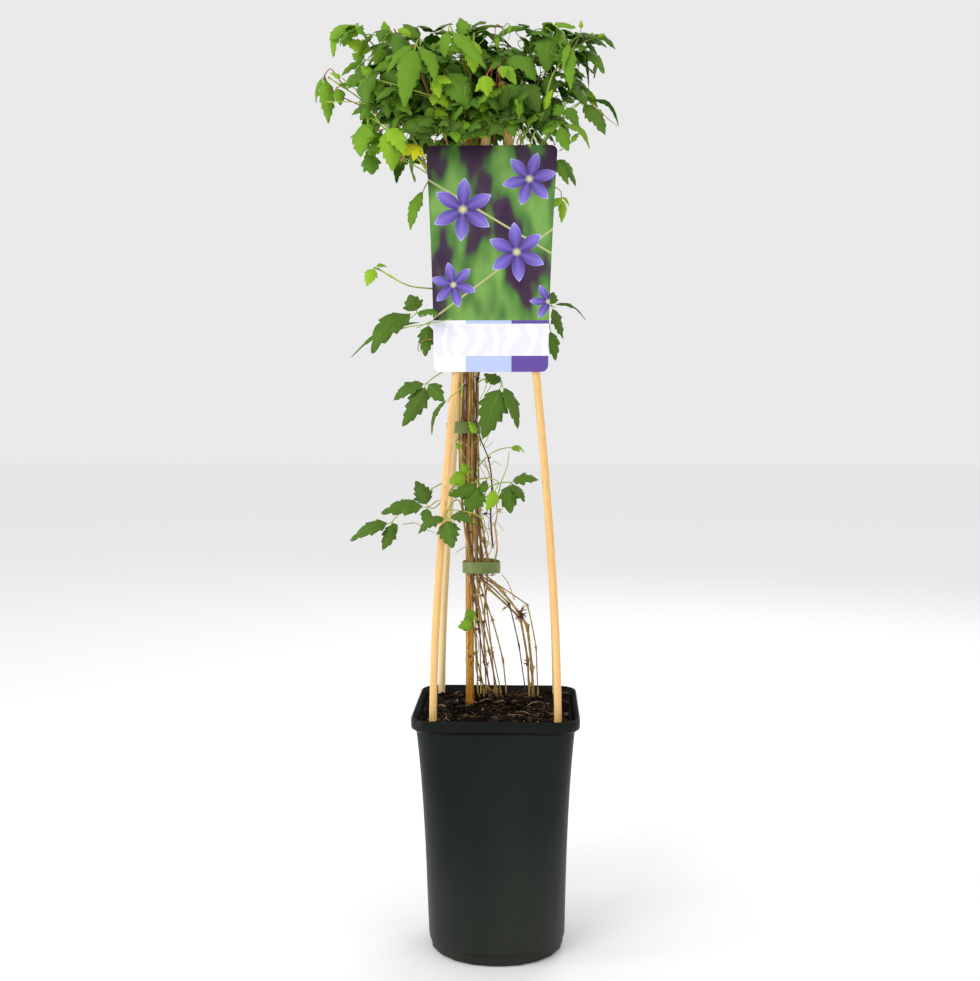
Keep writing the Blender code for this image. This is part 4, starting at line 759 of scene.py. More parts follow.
def make_leaves(piece_name, leaves, finishes, draw, grid_size, *nodes):
    """All the blades of some leaves as one thin piece."""
    shape = bmesh.new()
    shape.verts.layers.float.new("tone")
    for path, blades, tone in leaves:
        hub = path[-1]
        for blade, (upward, arch) in zip(blades, turned_uppers(hub, blades)):
            add_blade(shape, hub, blade, upward, arch, tone + draw.uniform(-0.08, 0.08), draw, grid_size)
    piece = new_piece(piece_name, mesh_from(shape, piece_name), finishes, "foliage", *nodes)
    wall = piece.modifiers.new("wall", "SOLIDIFY")
    wall.thickness = BLADE_WALL
    wall.offset = 0.0
    wall.material_offset = 1
    return piece


def add_spline(curve, points, radii, finish_index):
    """A round strand in a curve, with one radius or a radius at each point."""
    spline = curve.splines.new("POLY")
    spline.points.add(len(points) - 1)
    for index, point in enumerate(points):
        spline.points[index].co = (*point, 1.0)
        spline.points[index].radius = radii[index] if isinstance(radii, list) else radii
    spline.material_index = finish_index
    spline.use_smooth = True


def strand_curve(name, resolution, finishes):
    """A curve whose points' radii are true radii in metres, with its finishes."""
    curve = bpy.data.curves.new(name, "CURVE")
    for finish in finishes:
        curve.materials.append(finish)
    curve.dimensions = "3D"
    curve.bevel_depth = 1.0
    curve.bevel_resolution = resolution
    curve.use_fill_caps = True
    return curve


BARK, GREEN, RED, DARK_BARK = 0, 1, 2, 3
JOINT_SPACING = 15
KINKED_BELOW = 0.345
KINK_FADE = 0.020
KINK_SHARE = 0.8
STEM_GIRTH = {"right": 1.30, "low_right": 1.05, "spray_right": 0.50, "top_right": 0.55, "mid_left": 0.65,
              "centre": 0.85, "top": 0.55, "back": 0.60, "low_left": 0.60, "far_left": 0.75}
PURPLE_STEMS = ("mid_left", "spray_right")
JOINT_SWELL = {0: 1.6, 1: 1.2}
FOOT_GIRTH = 0.92
GREEN_FROM = 0.80
TUFT_RADII = [0.0007, 0.0005, 0.00015]
TUFTS_ABOVE = SOIL_TOP + 0.006
MID_TUFTS = (0.365, 0.525)
RED_STALKS = 0.15


def freedom(point):
    """1 where a stem stands free under the lower strap, and 0 above it."""
    return max(0.0, min(1.0, (KINKED_BELOW - point.z) / KINK_FADE))


def kinked(stem, shift):
    """The same stem with straight runs between its joints where it stands free under the lower strap."""
    joints = sorted({0, len(stem) - 1, *range(shift, len(stem), JOINT_SPACING)})
    path = []
    for first, last in zip(joints, joints[1:]):
        for index in range(first, last):
            straight = stem[first].lerp(stem[last], (index - first) / (last - first))
            path.append(stem[index].lerp(straight, freedom(stem[index]) * KINK_SHARE))
    return path + [stem[-1]], joints


def add_tuft(curve, point, draw, count, reach, finish_index):
    """Dry stubs that stand out of a stem's joint."""
    for _ in range(count):
        away = Vector((draw.uniform(-1, 1), draw.uniform(-1, 1), draw.uniform(-0.8, 1.0))).normalized()
        length = reach * draw.uniform(0.5, 1.0)
        bend = Vector((draw.uniform(-1, 1), draw.uniform(-1, 1), draw.uniform(-1, 0.3))) * length * 0.3
        points = [point, point + away * length * 0.5, point + away * length + bend]
        add_spline(curve, points, TUFT_RADII, finish_index)


def stem_radii(path, joints, girth):
    """The radius of a stem at each point: thin at its tip, swollen at its joints."""
    radii = []
    for index, point in enumerate(path):
        share = index / (len(path) - 1)
        foot = STEM_RADIUS * (FOOT_GIRTH + (girth - FOOT_GIRTH) * freedom(point))
        radius = foot + (STEM_TIP_RADIUS - foot) * share
        near = min(abs(index - joint) for joint in joints)
        radii.append(radius * JOINT_SWELL.get(near, 0.92 + 0.08 * math.sin(index * 1.7)))
    return radii


def make_stems(name, stem, leaves, finishes, draw):
    """A woody stem with swollen joints and dry tufts, and the stalks that leave it."""
    curve = strand_curve("stems_" + name, 2, finishes)
    path, joints = kinked(stem, draw.randrange(1, JOINT_SPACING))
    girth = STEM_GIRTH.get(name, 0.65)
    finish_index = DARK_BARK if name in PURPLE_STEMS else BARK
    radii = stem_radii(path, joints, girth)
    green_from = int(len(path) * GREEN_FROM)
    add_spline(curve, path[:green_from + 1], radii[:green_from + 1], finish_index)
    add_spline(curve, path[green_from:], radii[green_from:], RED if name in PURPLE_STEMS else GREEN)
    for joint in joints[1:-1]:
        point = path[joint]
        if TUFTS_ABOVE < point.z < KINKED_BELOW:
            add_tuft(curve, point, draw, draw.randrange(3, 7), 0.0050 * girth, finish_index)
        elif MID_TUFTS[0] < point.z < MID_TUFTS[1]:
            add_tuft(curve, point, draw, 3, 0.006, finish_index)
    for stalk, blades, _ in leaves:
        count = len(stalk)
        finish = RED if draw.random() < RED_STALKS else GREEN
        add_spline(curve, stalk, [PETIOLE_RADIUS * (1.15 - 0.4 * index / count) for index in range(count)],
                   finish)
        hub = stalk[-1]
        for blade in blades:
            run = blade[0] - hub
            stub = [hub, hub + run * BLADE_START * 0.6, hub + run * (BLADE_START + 0.06)]
            add_spline(curve, stub, [PETIOLE_RADIUS * share for share in (0.8, 0.7, 0.5)], finish)
    return new_piece("stems_" + name, curve, finishes, "foliage", "vine_" + name)


# Leaves that thicken the bush between those of the solids: hubs, drawn at random inside its outline.
FILL_LEAVES = 250
FILL_SEED = 17
FILL_MIDDLE = Vector((-0.022, 0.010, 0.770))
FILL_LOW, FILL_HIGH = 0.745, 0.838
FILL_LEFT = (-0.092, -0.128)
FILL_RIGHT = (0.048, 0.082)
FILL_FRONT, FILL_BACK = -0.030, 0.078
FILL_TOP = 0.8455
FILL_SIDE_SHARE = 0.78
FILL_REACH = 0.045
STALKS_FROM = 0.70
STALK_DROP = 6
CARD_CLEAR = 0.737
# A few more hang before the rods, just over the card.
LOW_LEAVES = 24
LOW_ACROSS = (-0.052, 0.044)
LOW_DEPTH = (-0.040, -0.018)
LOW_HEIGHT = (0.738, 0.760)
LOW_CLEAR = 0.734
CARD_BACK = 0.004


def fill_hub(draw):
    """A place in the bush, more likely near its middle than at its rim."""
    climb = draw.random()
    z = FILL_LOW + (FILL_HIGH - FILL_LOW) * climb
    left = FILL_LEFT[0] + (FILL_LEFT[1] - FILL_LEFT[0]) * climb
    right = FILL_RIGHT[0] + (FILL_RIGHT[1] - FILL_RIGHT[0]) * climb
    share = (draw.random() + draw.random()) / 2 if draw.random() < 0.35 else draw.random()
    x = left + (right - left) * share
    belly = math.sqrt(max(0.05, 1 - (2 * share - 1) ** 2))
    depth = FILL_FRONT + (FILL_BACK - FILL_FRONT) * draw.random() * belly
    return Vector((x, depth, z)), depth / FILL_BACK


def low_hub(draw):
    """A place before the rods in the lower part of the bush."""
    return Vector((draw.uniform(*LOW_ACROSS), draw.uniform(*LOW_DEPTH), draw.uniform(*LOW_HEIGHT))), 0.0


def fill_blades(draw, hub, low):
    """The blades of a thickening leaf, or none where they would pass the bush's top or the card."""
    size = 0.018 + 0.026 * draw.random() ** 1.3
    outward = hub - FILL_MIDDLE
    outward = Vector((outward.x, outward.y * 1.3 - 0.012, outward.z * 0.6 + 0.012)).normalized()
    drift = Vector((draw.uniform(-1, 1), draw.uniform(-1, 1), draw.uniform(-1, 0.6))) * 0.7
    hang = (outward * 0.6 + drift + Vector((0.0, 0.0, 0.15 if low else -0.65))).normalized()
    across = hang.cross(UP)
    if across.length < 0.2:
        return None
    face = outward * 0.8 + Vector((draw.uniform(-0.5, 0.5), -0.45, 0.55))
    spread = draw.uniform(0.7, 1.2)
    plump = draw.uniform(0.32, 0.50)
    blades = [(tip, length * plump, draw.uniform(0.05, 0.22), face) for tip, length
              in fanned(hub, hang, across.normalized(), spread, size, FILL_SIDE_SHARE)]
    clear = LOW_CLEAR if low else CARD_CLEAR
    if any(tip.z < clear and tip.y < CARD_BACK or tip.z > FILL_TOP for tip, _, _, _ in blades):
        return None
    return blades


def fill_tone_and_painted_light(draw, hub, depth_share):
    """How light a thickening leaf is: a random tone, with painted light that makes it lighter at the front,
    at the left and at the top, and painted shade that makes it darker at the right.
    """
    tone = 0.04 + 0.26 * draw.random() + 0.34 * max(0.0, -depth_share) * draw.random()
    if draw.random() < 0.20:
        tone += 0.30
    # Painted light on the left and the top of the bush, and painted shade on its right.
    if hub.x < -0.075:
        tone += 0.10
    if hub.z > 0.815:
        tone += 0.06
    if hub.x > 0.010:
        tone -= 0.10
    return min(tone, 0.82)


def fill_leaves(stems):
    """Three-part leaves hung through the bush, with their stalks."""
    draw = random.Random(FILL_SEED)
    grown = []
    while len(grown) < FILL_LEAVES + LOW_LEAVES:
        low = len(grown) >= FILL_LEAVES
        hub, depth_share = low_hub(draw) if low else fill_hub(draw)
        blades = fill_blades(draw, hub, low)
        if not blades:
            continue
        reach, name, spot = min(((hub - point).length, name, index) for name, stem in stems.items()
                                for index, point in enumerate(stem) if point.z > STALKS_FROM)
        if reach > FILL_REACH:
            continue
        start = max(1, spot - STALK_DROP)
        ahead = heading(stems[name], start)
        path = petiole_path(stems[name][start], hub, ahead, blades, STALK_BEHIND[0], 4)
        grown.append((path, blades, fill_tone_and_painted_light(draw, hub, depth_share)))
    return grown


def make_fill(stems, leaf_finishes, stem_finishes):
    """The thickening leaves in two pieces, and their stalks in one."""
    grown = fill_leaves(stems)
    draw = random.Random(FILL_SEED + 1)
    middle = len(grown) // 2
    make_leaves("leaves_between", grown[:middle], leaf_finishes, draw, COARSE_GRID)
    make_leaves("leaves_within", grown[middle:], leaf_finishes, draw, COARSE_GRID)
    curve = strand_curve("stalks_between", 0, stem_finishes)
    for path, _, _ in grown:
        add_spline(curve, path, PETIOLE_RADIUS * 0.7, RED if draw.random() < 0.12 else GREEN)
    new_piece("stalks_between", curve, stem_finishes, "foliage")


# Twigs, tendrils and dry stems that only the scene shows: finish, radius in mm, depth in mm, and points
# x and z in mm as the front view shows them. A pair of depths is that of the first point and that of the
# last. ALONG_STEMS lays a strand beside the stems, from their roots at the back up along the cane.
ALONG_STEMS = 1000
STRAP_LEVEL = 345.0
ROOTS_DEPTH = 44.0
STRANDS = (
    (GREEN, 0.6, -6, ((-119, 828), (-118, 834), (-112, 834), (-106, 833))),
    (RED, 0.8, -20, ((-93, 839), (-89, 832), (-85, 825), (-82, 816))),
    (GREEN, 0.7, -16, ((-104, 828), (-99, 828), (-91, 817), (-84, 806))),
    (GREEN, 0.5, -28, ((2, 800), (3, 812), (5, 823), (5, 840))),
    (RED, 0.5, -29, ((5, 838), (0, 842), (-2, 836), (0, 822))),
    (GREEN, 0.5, -28, ((5, 838), (9, 843), (12, 838), (10, 828))),
    (GREEN, 0.8, -30, ((44, 780), (51, 800), (66, 817), (80, 828))),
    (GREEN, 0.6, -30, ((66, 817), (72, 828), (75, 838))),
    (GREEN, 0.6, -30, ((70, 820), (80, 827), (89, 830))),
    (GREEN, 0.9, -34, ((-118, 797), (-90, 789), (-60, 780), (-38, 772))),
    (GREEN, 0.5, -20, ((-155, 775), (-136, 775), (-118, 773), (-96, 768))),
    (GREEN, 0.6, -22, ((-140, 796), (-128, 786), (-116, 776), (-100, 770))),
    (GREEN, 0.7, -36, ((29, 734), (33, 745), (38, 756), (42, 765))),
    (GREEN, 0.6, -20, ((56, 730), (60, 733), (66, 737), (72, 743))),
    (BARK, 0.5, -20, ((84, 772), (93, 764), (101, 757), (108, 752))),
    (GREEN, 0.6, -40, ((-92, 570), (-80, 573), (-60, 576), (-42, 580))),
    (BARK, 0.5, -30, ((-60, 562), (-68, 560), (-72, 556), (-72, 551), (-68, 552))),
    (GREEN, 0.6, -50, ((-12, 397), (-25, 403), (-45, 405), (-46, 398))),
    (BARK, 0.6, -40, ((-63, 408), (-54, 414), (-48, 410))),
    (BARK, 0.4, -30, ((-87, 392), (-75, 393), (-68, 388), (-57, 384))),
    (GREEN, 0.6, -12, ((1, 420), (4, 432), (9, 445), (11, 459))),
    (GREEN, 0.5, -44, ((-38, 756), (-35, 766), (-30, 776), (-29, 788))),
    (RED, 0.8, ALONG_STEMS, ((-26, 345), (-22, 325), (-18, 310), (-18, 298))),
    (BARK, 0.8, ALONG_STEMS, ((-2, 358), (0, 372), (-2, 390), (0, 405), (-5, 430), (-12, 452))),
    (DARK_BARK, 0.8, ALONG_STEMS, ((-4, 370), (-6, 400), (-5, 430), (-8, 452), (-15, 470), (-20, 490))),
    (BARK, 0.5, ALONG_STEMS, ((-3, 236), (-16, 247), (-20, 262), (-17, 280), (-22, 300))),
    (BARK, 0.4, ALONG_STEMS, ((-14, 358), (-8, 380), (-17, 404), (-9, 428), (-19, 452))),
    (GREEN, 0.5, ALONG_STEMS, ((-14, 470), (-8, 486), (-13, 505), (-4, 522))),
    (BARK, 0.4, ALONG_STEMS, ((-10, 360), (-4, 374), (-8, 392), (-1, 404))),
    (BARK, 0.4, ALONG_STEMS, ((-12, 402), (-6, 396), (0, 384), (-3, 372))),
    (GREEN, 0.4, ALONG_STEMS, ((-16, 452), (-9, 444), (-3, 450), (4, 446))),
    (BARK, 0.4, ALONG_STEMS, ((-16, 486), (-8, 492), (-3, 486), (3, 493))),
    (BARK, 0.4, ALONG_STEMS, ((-34, 430), (-24, 436), (-14, 428), (-8, 436), (-2, 430))),
    (GREEN, 0.4, ALONG_STEMS, ((-38, 366), (-28, 371), (-18, 366), (-10, 374), (-2, 370))),
    (BARK, 0.4, ALONG_STEMS, ((-34, 470), (-26, 464), (-17, 470), (-10, 463), (-4, 468))),
    (BARK, 0.5, ALONG_STEMS, ((-12, 358), (-17, 368), (-11, 388), (-15, 410), (-9, 426))),
    (GREEN, 0.4, ALONG_STEMS, ((-18, 395), (-8, 388), (-1, 394), (6, 386))),
    (BARK, 0.4, ALONG_STEMS, ((-36, 388), (-40, 396), (-36, 404), (-30, 400))),
    (BARK, 0.5, ALONG_STEMS, ((16, 322), (10, 338), (4, 346))),
    (BARK, 0.4, ALONG_STEMS, ((-16, 230), (-19, 244), (-15, 256), (-20, 268))),
    (GREEN, 0.6, (-6, 7), ((-18, 475), (-16, 470), (-15, 464))),
    (GREEN, 0.4, (-5, 7), ((-8, 476), (-9, 471), (-13, 464))),
    (GREEN, 0.4, (-8, 7), ((-10, 520), (-12, 514), (-16, 507))),
    (GREEN, 0.5, (-9, 7), ((-33, 461), (-31, 456), (-27, 450))),
    (GREEN, 0.7, (-14, 7), ((-28, 438), (-25, 441), (-21, 434))),
)
# Buds and small curled leaves: tip, foot, width and depth in mm, and the tone
BUDS = (
    ((75, 845), (75, 837), 3.2, -30, 0.80), ((86, 834), (80, 829), 3.0, -30, 0.72),
    ((96, 833), (89, 830), 3.2, -30, 0.75), ((50, 785), (42, 764), 6.5, -36, 0.86),
    ((-151, 801), (-140, 796), 4.0, -20, 0.80), ((-74, 830), (-92, 839), 6.5, -18, 0.78),
    ((0, 820), (0, 832), 4.0, -29, 0.62), ((10, 834), (12, 842), 3.6, -28, 0.70),
    ((-26, 487), (-18, 475), 6.0, -6, 0.80), ((-8, 488), (-8, 476), 3.4, -5, 0.82),
    ((-9, 530), (-10, 520), 3.6, -8, 0.80), ((-38, 467), (-33, 461), 4.0, -9, 0.72),
    ((74, 746), (66, 737), 4.5, -28, 0.80), ((-5, 768), (-5, 782), 4.0, -40, 0.86),
    ((-36, 738), (-38, 756), 10.0, -44, 0.66), ((-22, 752), (-38, 756), 8.0, -44, 0.62),
    ((-45, 431), (-27, 438), 13.0, -14, 0.72), ((-31, 449), (-30, 437), 8.0, -14, 0.60),
)
# Dry joints on the free stems, as the front view shows them: x, z and depth in mm, stubs, and reach in mm
TUFTS = (
    (22, 312, 20, 12, 9.0), (21, 306, 20, 8, 7.0), (8, 315, 24, 7, 5.0), (27, 262, 34, 6, 4.5),
    (-9, 262, 20, 5, 4.5), (-17, 294, 10, 8, 5.5), (-16, 247, 24, 6, 5.0), (-15, 326, 14, 6, 5.0),
    (31, 243, 44, 7, 5.0), (2, 405, -4, 7, 5.0), (-8, 452, -6, 6, 5.0), (-6, 236, 44, 8, 6.0),
    (3, 232, 46, 8, 6.0), (33, 232, 46, 8, 5.0), (-12, 302, 12, 6, 4.5), (-20, 272, 20, 6, 4.5),
    (-4, 345, 0, 5, 4.5), (-10, 402, -6, 6, 5.0), (-4, 372, -6, 5, 4.0),
    (-86, 725, -17, 13, 8.0), (-68, 722, -15, 11, 7.0), (23, 309, 20, 12, 8.0),
)
BEFORE_CANE = 9.0
STRAND_SEED = 23
STEM_TUFTS_BELOW = 460


def stem_depth(z):
    """Depth in mm of the front of the stems at a height in mm."""
    bundle = (CANE_Y + CANE_LEAN * (z * MM - SOIL_TOP)) / MM - BEFORE_CANE
    if z > STRAP_LEVEL:
        return bundle
    share = (z - SOIL_TOP / MM) / (STRAP_LEVEL - SOIL_TOP / MM)
    return ROOTS_DEPTH + (bundle - ROOTS_DEPTH) * max(0.0, share)


def strand_depths(depth, points):
    """Depth in mm of each point of a strand."""
    if depth == ALONG_STEMS:
        return [stem_depth(z) for _, z in points]
    first, last = depth if isinstance(depth, tuple) else (depth, depth)
    steps = len(points) - 1
    return [first + (last - first) * index / steps for index in range(len(points))]


def make_strands(finishes, leaf_finishes):
    """Twigs, tendrils and dry joints in one piece, and the buds in another."""
    draw = random.Random(STRAND_SEED)
    curve = strand_curve("twigs_and_tendrils", 1, finishes)
    for finish_index, radius, depth, points in STRANDS:
        depths = strand_depths(depth, points)
        path = smooth_path([seen(x, z, place) for (x, z), place in zip(points, depths)], 6)
        last = len(path) - 1
        add_spline(curve, path, [radius * MM * (1.1 - 0.5 * index / last) for index in range(last + 1)],
                   finish_index)
    for x, z, depth, count, reach in TUFTS:
        point = seen(x, z, stem_depth(z) if z < STEM_TUFTS_BELOW else depth)
        add_tuft(curve, point, draw, count, reach * MM, BARK if count % 2 else DARK_BARK)
    new_piece("twigs_and_tendrils", curve, finishes, "foliage")
    buds = []
    for tip, foot, width, depth, tone in BUDS:
        blade = (seen(tip[0], tip[1], depth - 1.0), width * MM, 0.10, FRONT)
        buds.append(([seen(foot[0], foot[1], depth)], [blade], tone))
    make_leaves("buds_and_young_leaves", buds, leaf_finishes, draw, COARSE_GRID)


# Finishes

PIECE_NOISE = "noise_on_piece"
TWO_TONE_GRAIN = "two_tone_grain"
LEAF_VEINS = "leaf_veins"
PRINTED_FLOWER = "printed_flower"
EVEN = (1.0, 1.0, 1.0)
WHITE = (1.0, 1.0, 1.0)
GRAIN_SPREAD = (0.30, 0.70)
GRAIN_DETAIL = 4.0


class Tree:
    """The nodes of a finish or of a group, with short ways to add and to feed them."""

    def __init__(self, tree):
        self.nodes = tree.nodes
        self.links = tree.links

    def feed(self, node, inputs):
        """The same node, once each input is linked to another's output or set to a value or a colour."""
        for label, value in inputs.items():
            socket = node.inputs[label]
            if isinstance(value, bpy.types.NodeSocket):
                self.links.new(value, socket)
            elif socket.type == "RGBA":
                socket.default_value = (*value, 1.0)
            else:
                socket.default_value = value
        return node

    def add(self, kind, inputs):
        """The outputs of a new node."""
        return self.feed(self.nodes.new("ShaderNode" + kind), inputs).outputs

    def math(self, operation, *values):
        """A number worked out from one or two others."""
        node = self.nodes.new("ShaderNodeMath")
        node.operation = operation
        return self.feed(node, dict(enumerate(values))).outputs[0]

    def clamp(self, value):
        """A number held between 0 and 1."""
        return self.math("MAXIMUM", self.math("MINIMUM", value, 1.0), 0.0)

    def remap(self, value, limits):
        """A number moved from one range to another."""
        return self.add("MapRange", {"Value": value, **limits})["Result"]

    def blend(self, share, one, other, kind="MIX"):
        """Two colours blended."""
        node = self.nodes.new("ShaderNodeMix")
        node.data_type = "RGBA"
        node.blend_type = kind
        return self.feed(node, {"Factor": share, "A": one, "B": other}).outputs["Result"]

    def ramp(self, share, *stops):
        """A colour between stops, each of them a place and a colour."""
        node = self.feed(self.nodes.new("ShaderNodeValToRGB"), {"Fac": share})
        elements = node.color_ramp.elements
        for element, (place, colour) in zip(elements, (stops[0], stops[-1])):
            element.position = place
            element.color = (*colour, 1.0)
        for place, colour in stops[1:-1]:
            elements.new(place).color = (*colour, 1.0)
        return node.outputs["Color"]

    def axes(self):
        """Place across, in depth and up on the piece."""
        return self.add("SeparateXYZ", {"Vector": self.add("TexCoord", {})["Object"]})

    def group(self, name, inputs):
        """The outputs of one use of a shader node group."""
        placed = self.nodes.new("ShaderNodeGroup")
        placed.node_tree = bpy.data.node_groups[name]
        return self.feed(placed, inputs).outputs

    def noise(self, scale, detail=3.0, stretch=EVEN, rough=0.5):
        """A noise pattern fixed to the piece, stretched along its axes."""
        values = {"Stretch": stretch, "Scale": scale, "Detail": detail, "Roughness": rough}
        return self.group(PIECE_NOISE, values)["Noise"]

    def grained(self, low, high, scale, stretch):
        """Two colours mixed by noise: the colour, and the noise as a height."""
        grain = self.group(TWO_TONE_GRAIN, {"Low Colour": low, "High Colour": high, "Stretch": stretch,
                                            "Low From": GRAIN_SPREAD[0], "High From": GRAIN_SPREAD[1],
                                            "Scale": scale, "Detail": GRAIN_DETAIL})
        return grain["Colour"], grain["Height"]


class Finish(Tree):
    """A material whose nodes feed one shader."""

    def __init__(self, name, roughness, specular=0.35):
        self.material = bpy.data.materials.new(name)
        self.material.use_nodes = True
        super().__init__(self.material.node_tree)
        self.shader = self.nodes["Principled BSDF"]
        self.feed(self.shader, {"Roughness": roughness, "Specular IOR Level": specular})

    def done(self, colour, height, strength, distance):
        """The material, with its colour and with a height that lifts its surface."""
        bump = self.add("Bump", {"Height": height, "Strength": strength, "Distance": distance})
        self.feed(self.shader, {"Base Color": colour, "Normal": bump["Normal"]})
        return self.material


def new_group(name, inputs, outputs):
    """An empty shader node group: its tree, what it is given, and the node that takes its results."""
    group = bpy.data.node_groups.new(name, "ShaderNodeTree")
    for in_out, sockets in (("INPUT", inputs), ("OUTPUT", outputs)):
        for label, kind in sockets.items():
            group.interface.new_socket(label, in_out=in_out, socket_type="NodeSocket" + kind)
    tree = Tree(group)
    return tree, tree.nodes.new("NodeGroupInput").outputs, tree.nodes.new("NodeGroupOutput")


def make_noise_group():
    """A group that lays noise on a piece, stretched along the piece's own axes."""
    numbers = ("Scale", "Detail", "Roughness")
    tree, given, results = new_group(PIECE_NOISE, {"Stretch": "Vector", **dict.fromkeys(numbers, "Float")},
                                     {"Noise": "Float"})
    place = tree.add("TexCoord", {})["Object"]
    stretched = tree.add("Mapping", {"Vector": place, "Scale": given["Stretch"]})["Vector"]
    pattern = tree.add("TexNoise", {"Vector": stretched, **{label: given[label] for label in numbers}})
    tree.feed(results, {"Noise": pattern["Fac"]})


def make_grain_group():
    """A group for grained finishes: two colours mixed by noise, and the noise itself as a height."""
    numbers = dict.fromkeys(("Low From", "High From", "Scale", "Detail"), "Float")
    tree, given, results = new_group(
        TWO_TONE_GRAIN, {"Low Colour": "Color", "High Colour": "Color", "Stretch": "Vector", **numbers},
        {"Colour": "Color", "Height": "Float"})
    pattern = tree.noise(given["Scale"], given["Detail"], given["Stretch"])
    share = tree.remap(pattern, {"From Min": given["Low From"], "From Max": given["High From"]})
    colour = tree.blend(share, given["Low Colour"], given["High Colour"])
    tree.feed(results, {"Colour": colour, "Height": pattern})


RIB_SHARPNESS = 34.0
SIDE_VEINS = 6.0
VEIN_SLANT = 0.5
VEIN_FROM = 0.44
VEIN_SHARPNESS = 12.0


def make_vein_group():
    """A group that turns a blade's own map into a mask of its midrib and side veins."""
    tree, given, results = new_group(LEAF_VEINS, {"Blade Map": "Vector"}, {"Vein": "Float"})
    blade = tree.add("SeparateXYZ", {"Vector": given["Blade Map"]})
    across = tree.math("ABSOLUTE", tree.math("SUBTRACT", blade["Y"], 0.5))
    rib = tree.math("SUBTRACT", 1.0, tree.math("MULTIPLY", across, RIB_SHARPNESS))
    slant = tree.math("SUBTRACT", blade["X"], tree.math("MULTIPLY", across, VEIN_SLANT))
    beat = tree.math("FRACT", tree.math("MULTIPLY", slant, SIDE_VEINS))
    off = tree.math("ABSOLUTE", tree.math("SUBTRACT", beat, 0.5))
    side = tree.math("MULTIPLY", tree.math("SUBTRACT", off, VEIN_FROM), VEIN_SHARPNESS)
    vein = tree.math("MAXIMUM", tree.math("MAXIMUM", rib, side), 0.0)
    tree.feed(results, {"Vein": vein})


DARK_GREEN = (0.005, 0.028, 0.001)
MID_GREEN = (0.049, 0.148, 0.002)
FRESH_GREEN = (0.145, 0.305, 0.002)
LIME_GREEN = (0.285, 0.490, 0.004)
UNDER_GREEN = (0.22, 0.38, 0.06)
VEIN_GREEN = (0.22, 0.42, 0.02)
GOLD = (0.84, 0.74, 0.004)
LEAF_GLOSS = 0.12
LEAF_MOTTLE = 0.24
VEIN_SHARE = 0.35


def make_leaf_finish(name, lighten, roughness):
    """Green that follows each blade's tone, with paler veins and a fine grain."""
    finish = Finish(name, roughness, LEAF_GLOSS)
    tone = finish.nodes.new("ShaderNodeAttribute")
    tone.attribute_name = "tone"
    mottle = finish.math("MULTIPLY", finish.math("SUBTRACT", finish.noise(90.0), 0.5), LEAF_MOTTLE)
    colour = finish.ramp(finish.math("ADD", tone.outputs["Fac"], mottle), (0.0, DARK_GREEN),
                         (0.32, MID_GREEN), (0.58, FRESH_GREEN), (0.84, LIME_GREEN), (0.95, LIME_GREEN),
                         (1.0, GOLD))
    vein = finish.group(LEAF_VEINS, {"Blade Map": finish.add("TexCoord", {})["UV"]})["Vein"]
    if lighten:
        colour = finish.blend(lighten, colour, UNDER_GREEN)
    colour = finish.blend(finish.math("MULTIPLY", vein, VEIN_SHARE), colour, VEIN_GREEN)
    height = finish.math("SUBTRACT", finish.noise(700.0, 2.0), vein)
    return finish.done(colour, height, 0.35, 0.0004)


def make_plain_finish(name, low, high, scale, roughness, stretch=EVEN, bump=0.3, distance=0.0005,
                      specular=0.3):
    """Two colours mixed by a noise pattern that also lifts the surface."""
    finish = Finish(name, roughness, specular)
    colour, height = finish.grained(low, high, scale, stretch)
    return finish.done(colour, height, bump, distance)


def make_rod_finish(name, low, high, patch):
    """Peeled wood: long grain under soft blotches, with a few dark specks."""
    finish = Finish(name, 0.5)
    wood, height = finish.grained(low, high, 1.0, (700.0, 700.0, 9.0))
    blotch = finish.noise(1.0, 2.0, (60.0, 60.0, 14.0))
    wood = finish.blend(finish.math("MULTIPLY", blotch, 0.5), wood, patch)
    knot = finish.noise(1.0, 1.0, (170.0, 170.0, 45.0))
    specks = finish.ramp(knot, (0.22, (0.45, 0.36, 0.28)), (0.30, WHITE))
    return finish.done(finish.blend(1.0, wood, specks, "MULTIPLY"), height, 0.25, 0.0003)


def make_cane_finish():
    """Bamboo skin: streaks along the cane and dark specks."""
    finish = Finish("bamboo_skin", 0.38)
    streak = finish.noise(1.0, 4.0, (500.0, 500.0, 7.0))
    skin = finish.ramp(streak, (0.25, (0.21, 0.080, 0.005)), (0.5, (0.45, 0.20, 0.015)),
                       (0.75, (0.66, 0.35, 0.04)))
    speck = finish.noise(1.0, 2.0, (420.0, 420.0, 160.0))
    specks = finish.ramp(speck, (0.30, (0.25, 0.25, 0.25)), (0.42, WHITE))
    return finish.done(finish.blend(1.0, skin, specks, "MULTIPLY"), streak, 0.25, 0.0003)


# Height below which the pot turns paler toward its base, partly dust and partly painted light.
DUST_AND_LIGHT_TO = 0.17
RIM_SHADE = (0.0012, 0.0020, 0.0015)
POT_DARK = (0.0012, 0.0038, 0.0030)
POT_PALE = (0.0090, 0.0135, 0.0100)
POT_SCUFF = (0.030, 0.040, 0.033)
# Colour of the pale tint toward the pot's base: partly dust, partly painted light.
POT_DUST_AND_LIGHT = (0.024, 0.027, 0.020)
RIM_SHADE_FROM = POT_HEIGHT - RIM_HEIGHT - 0.002


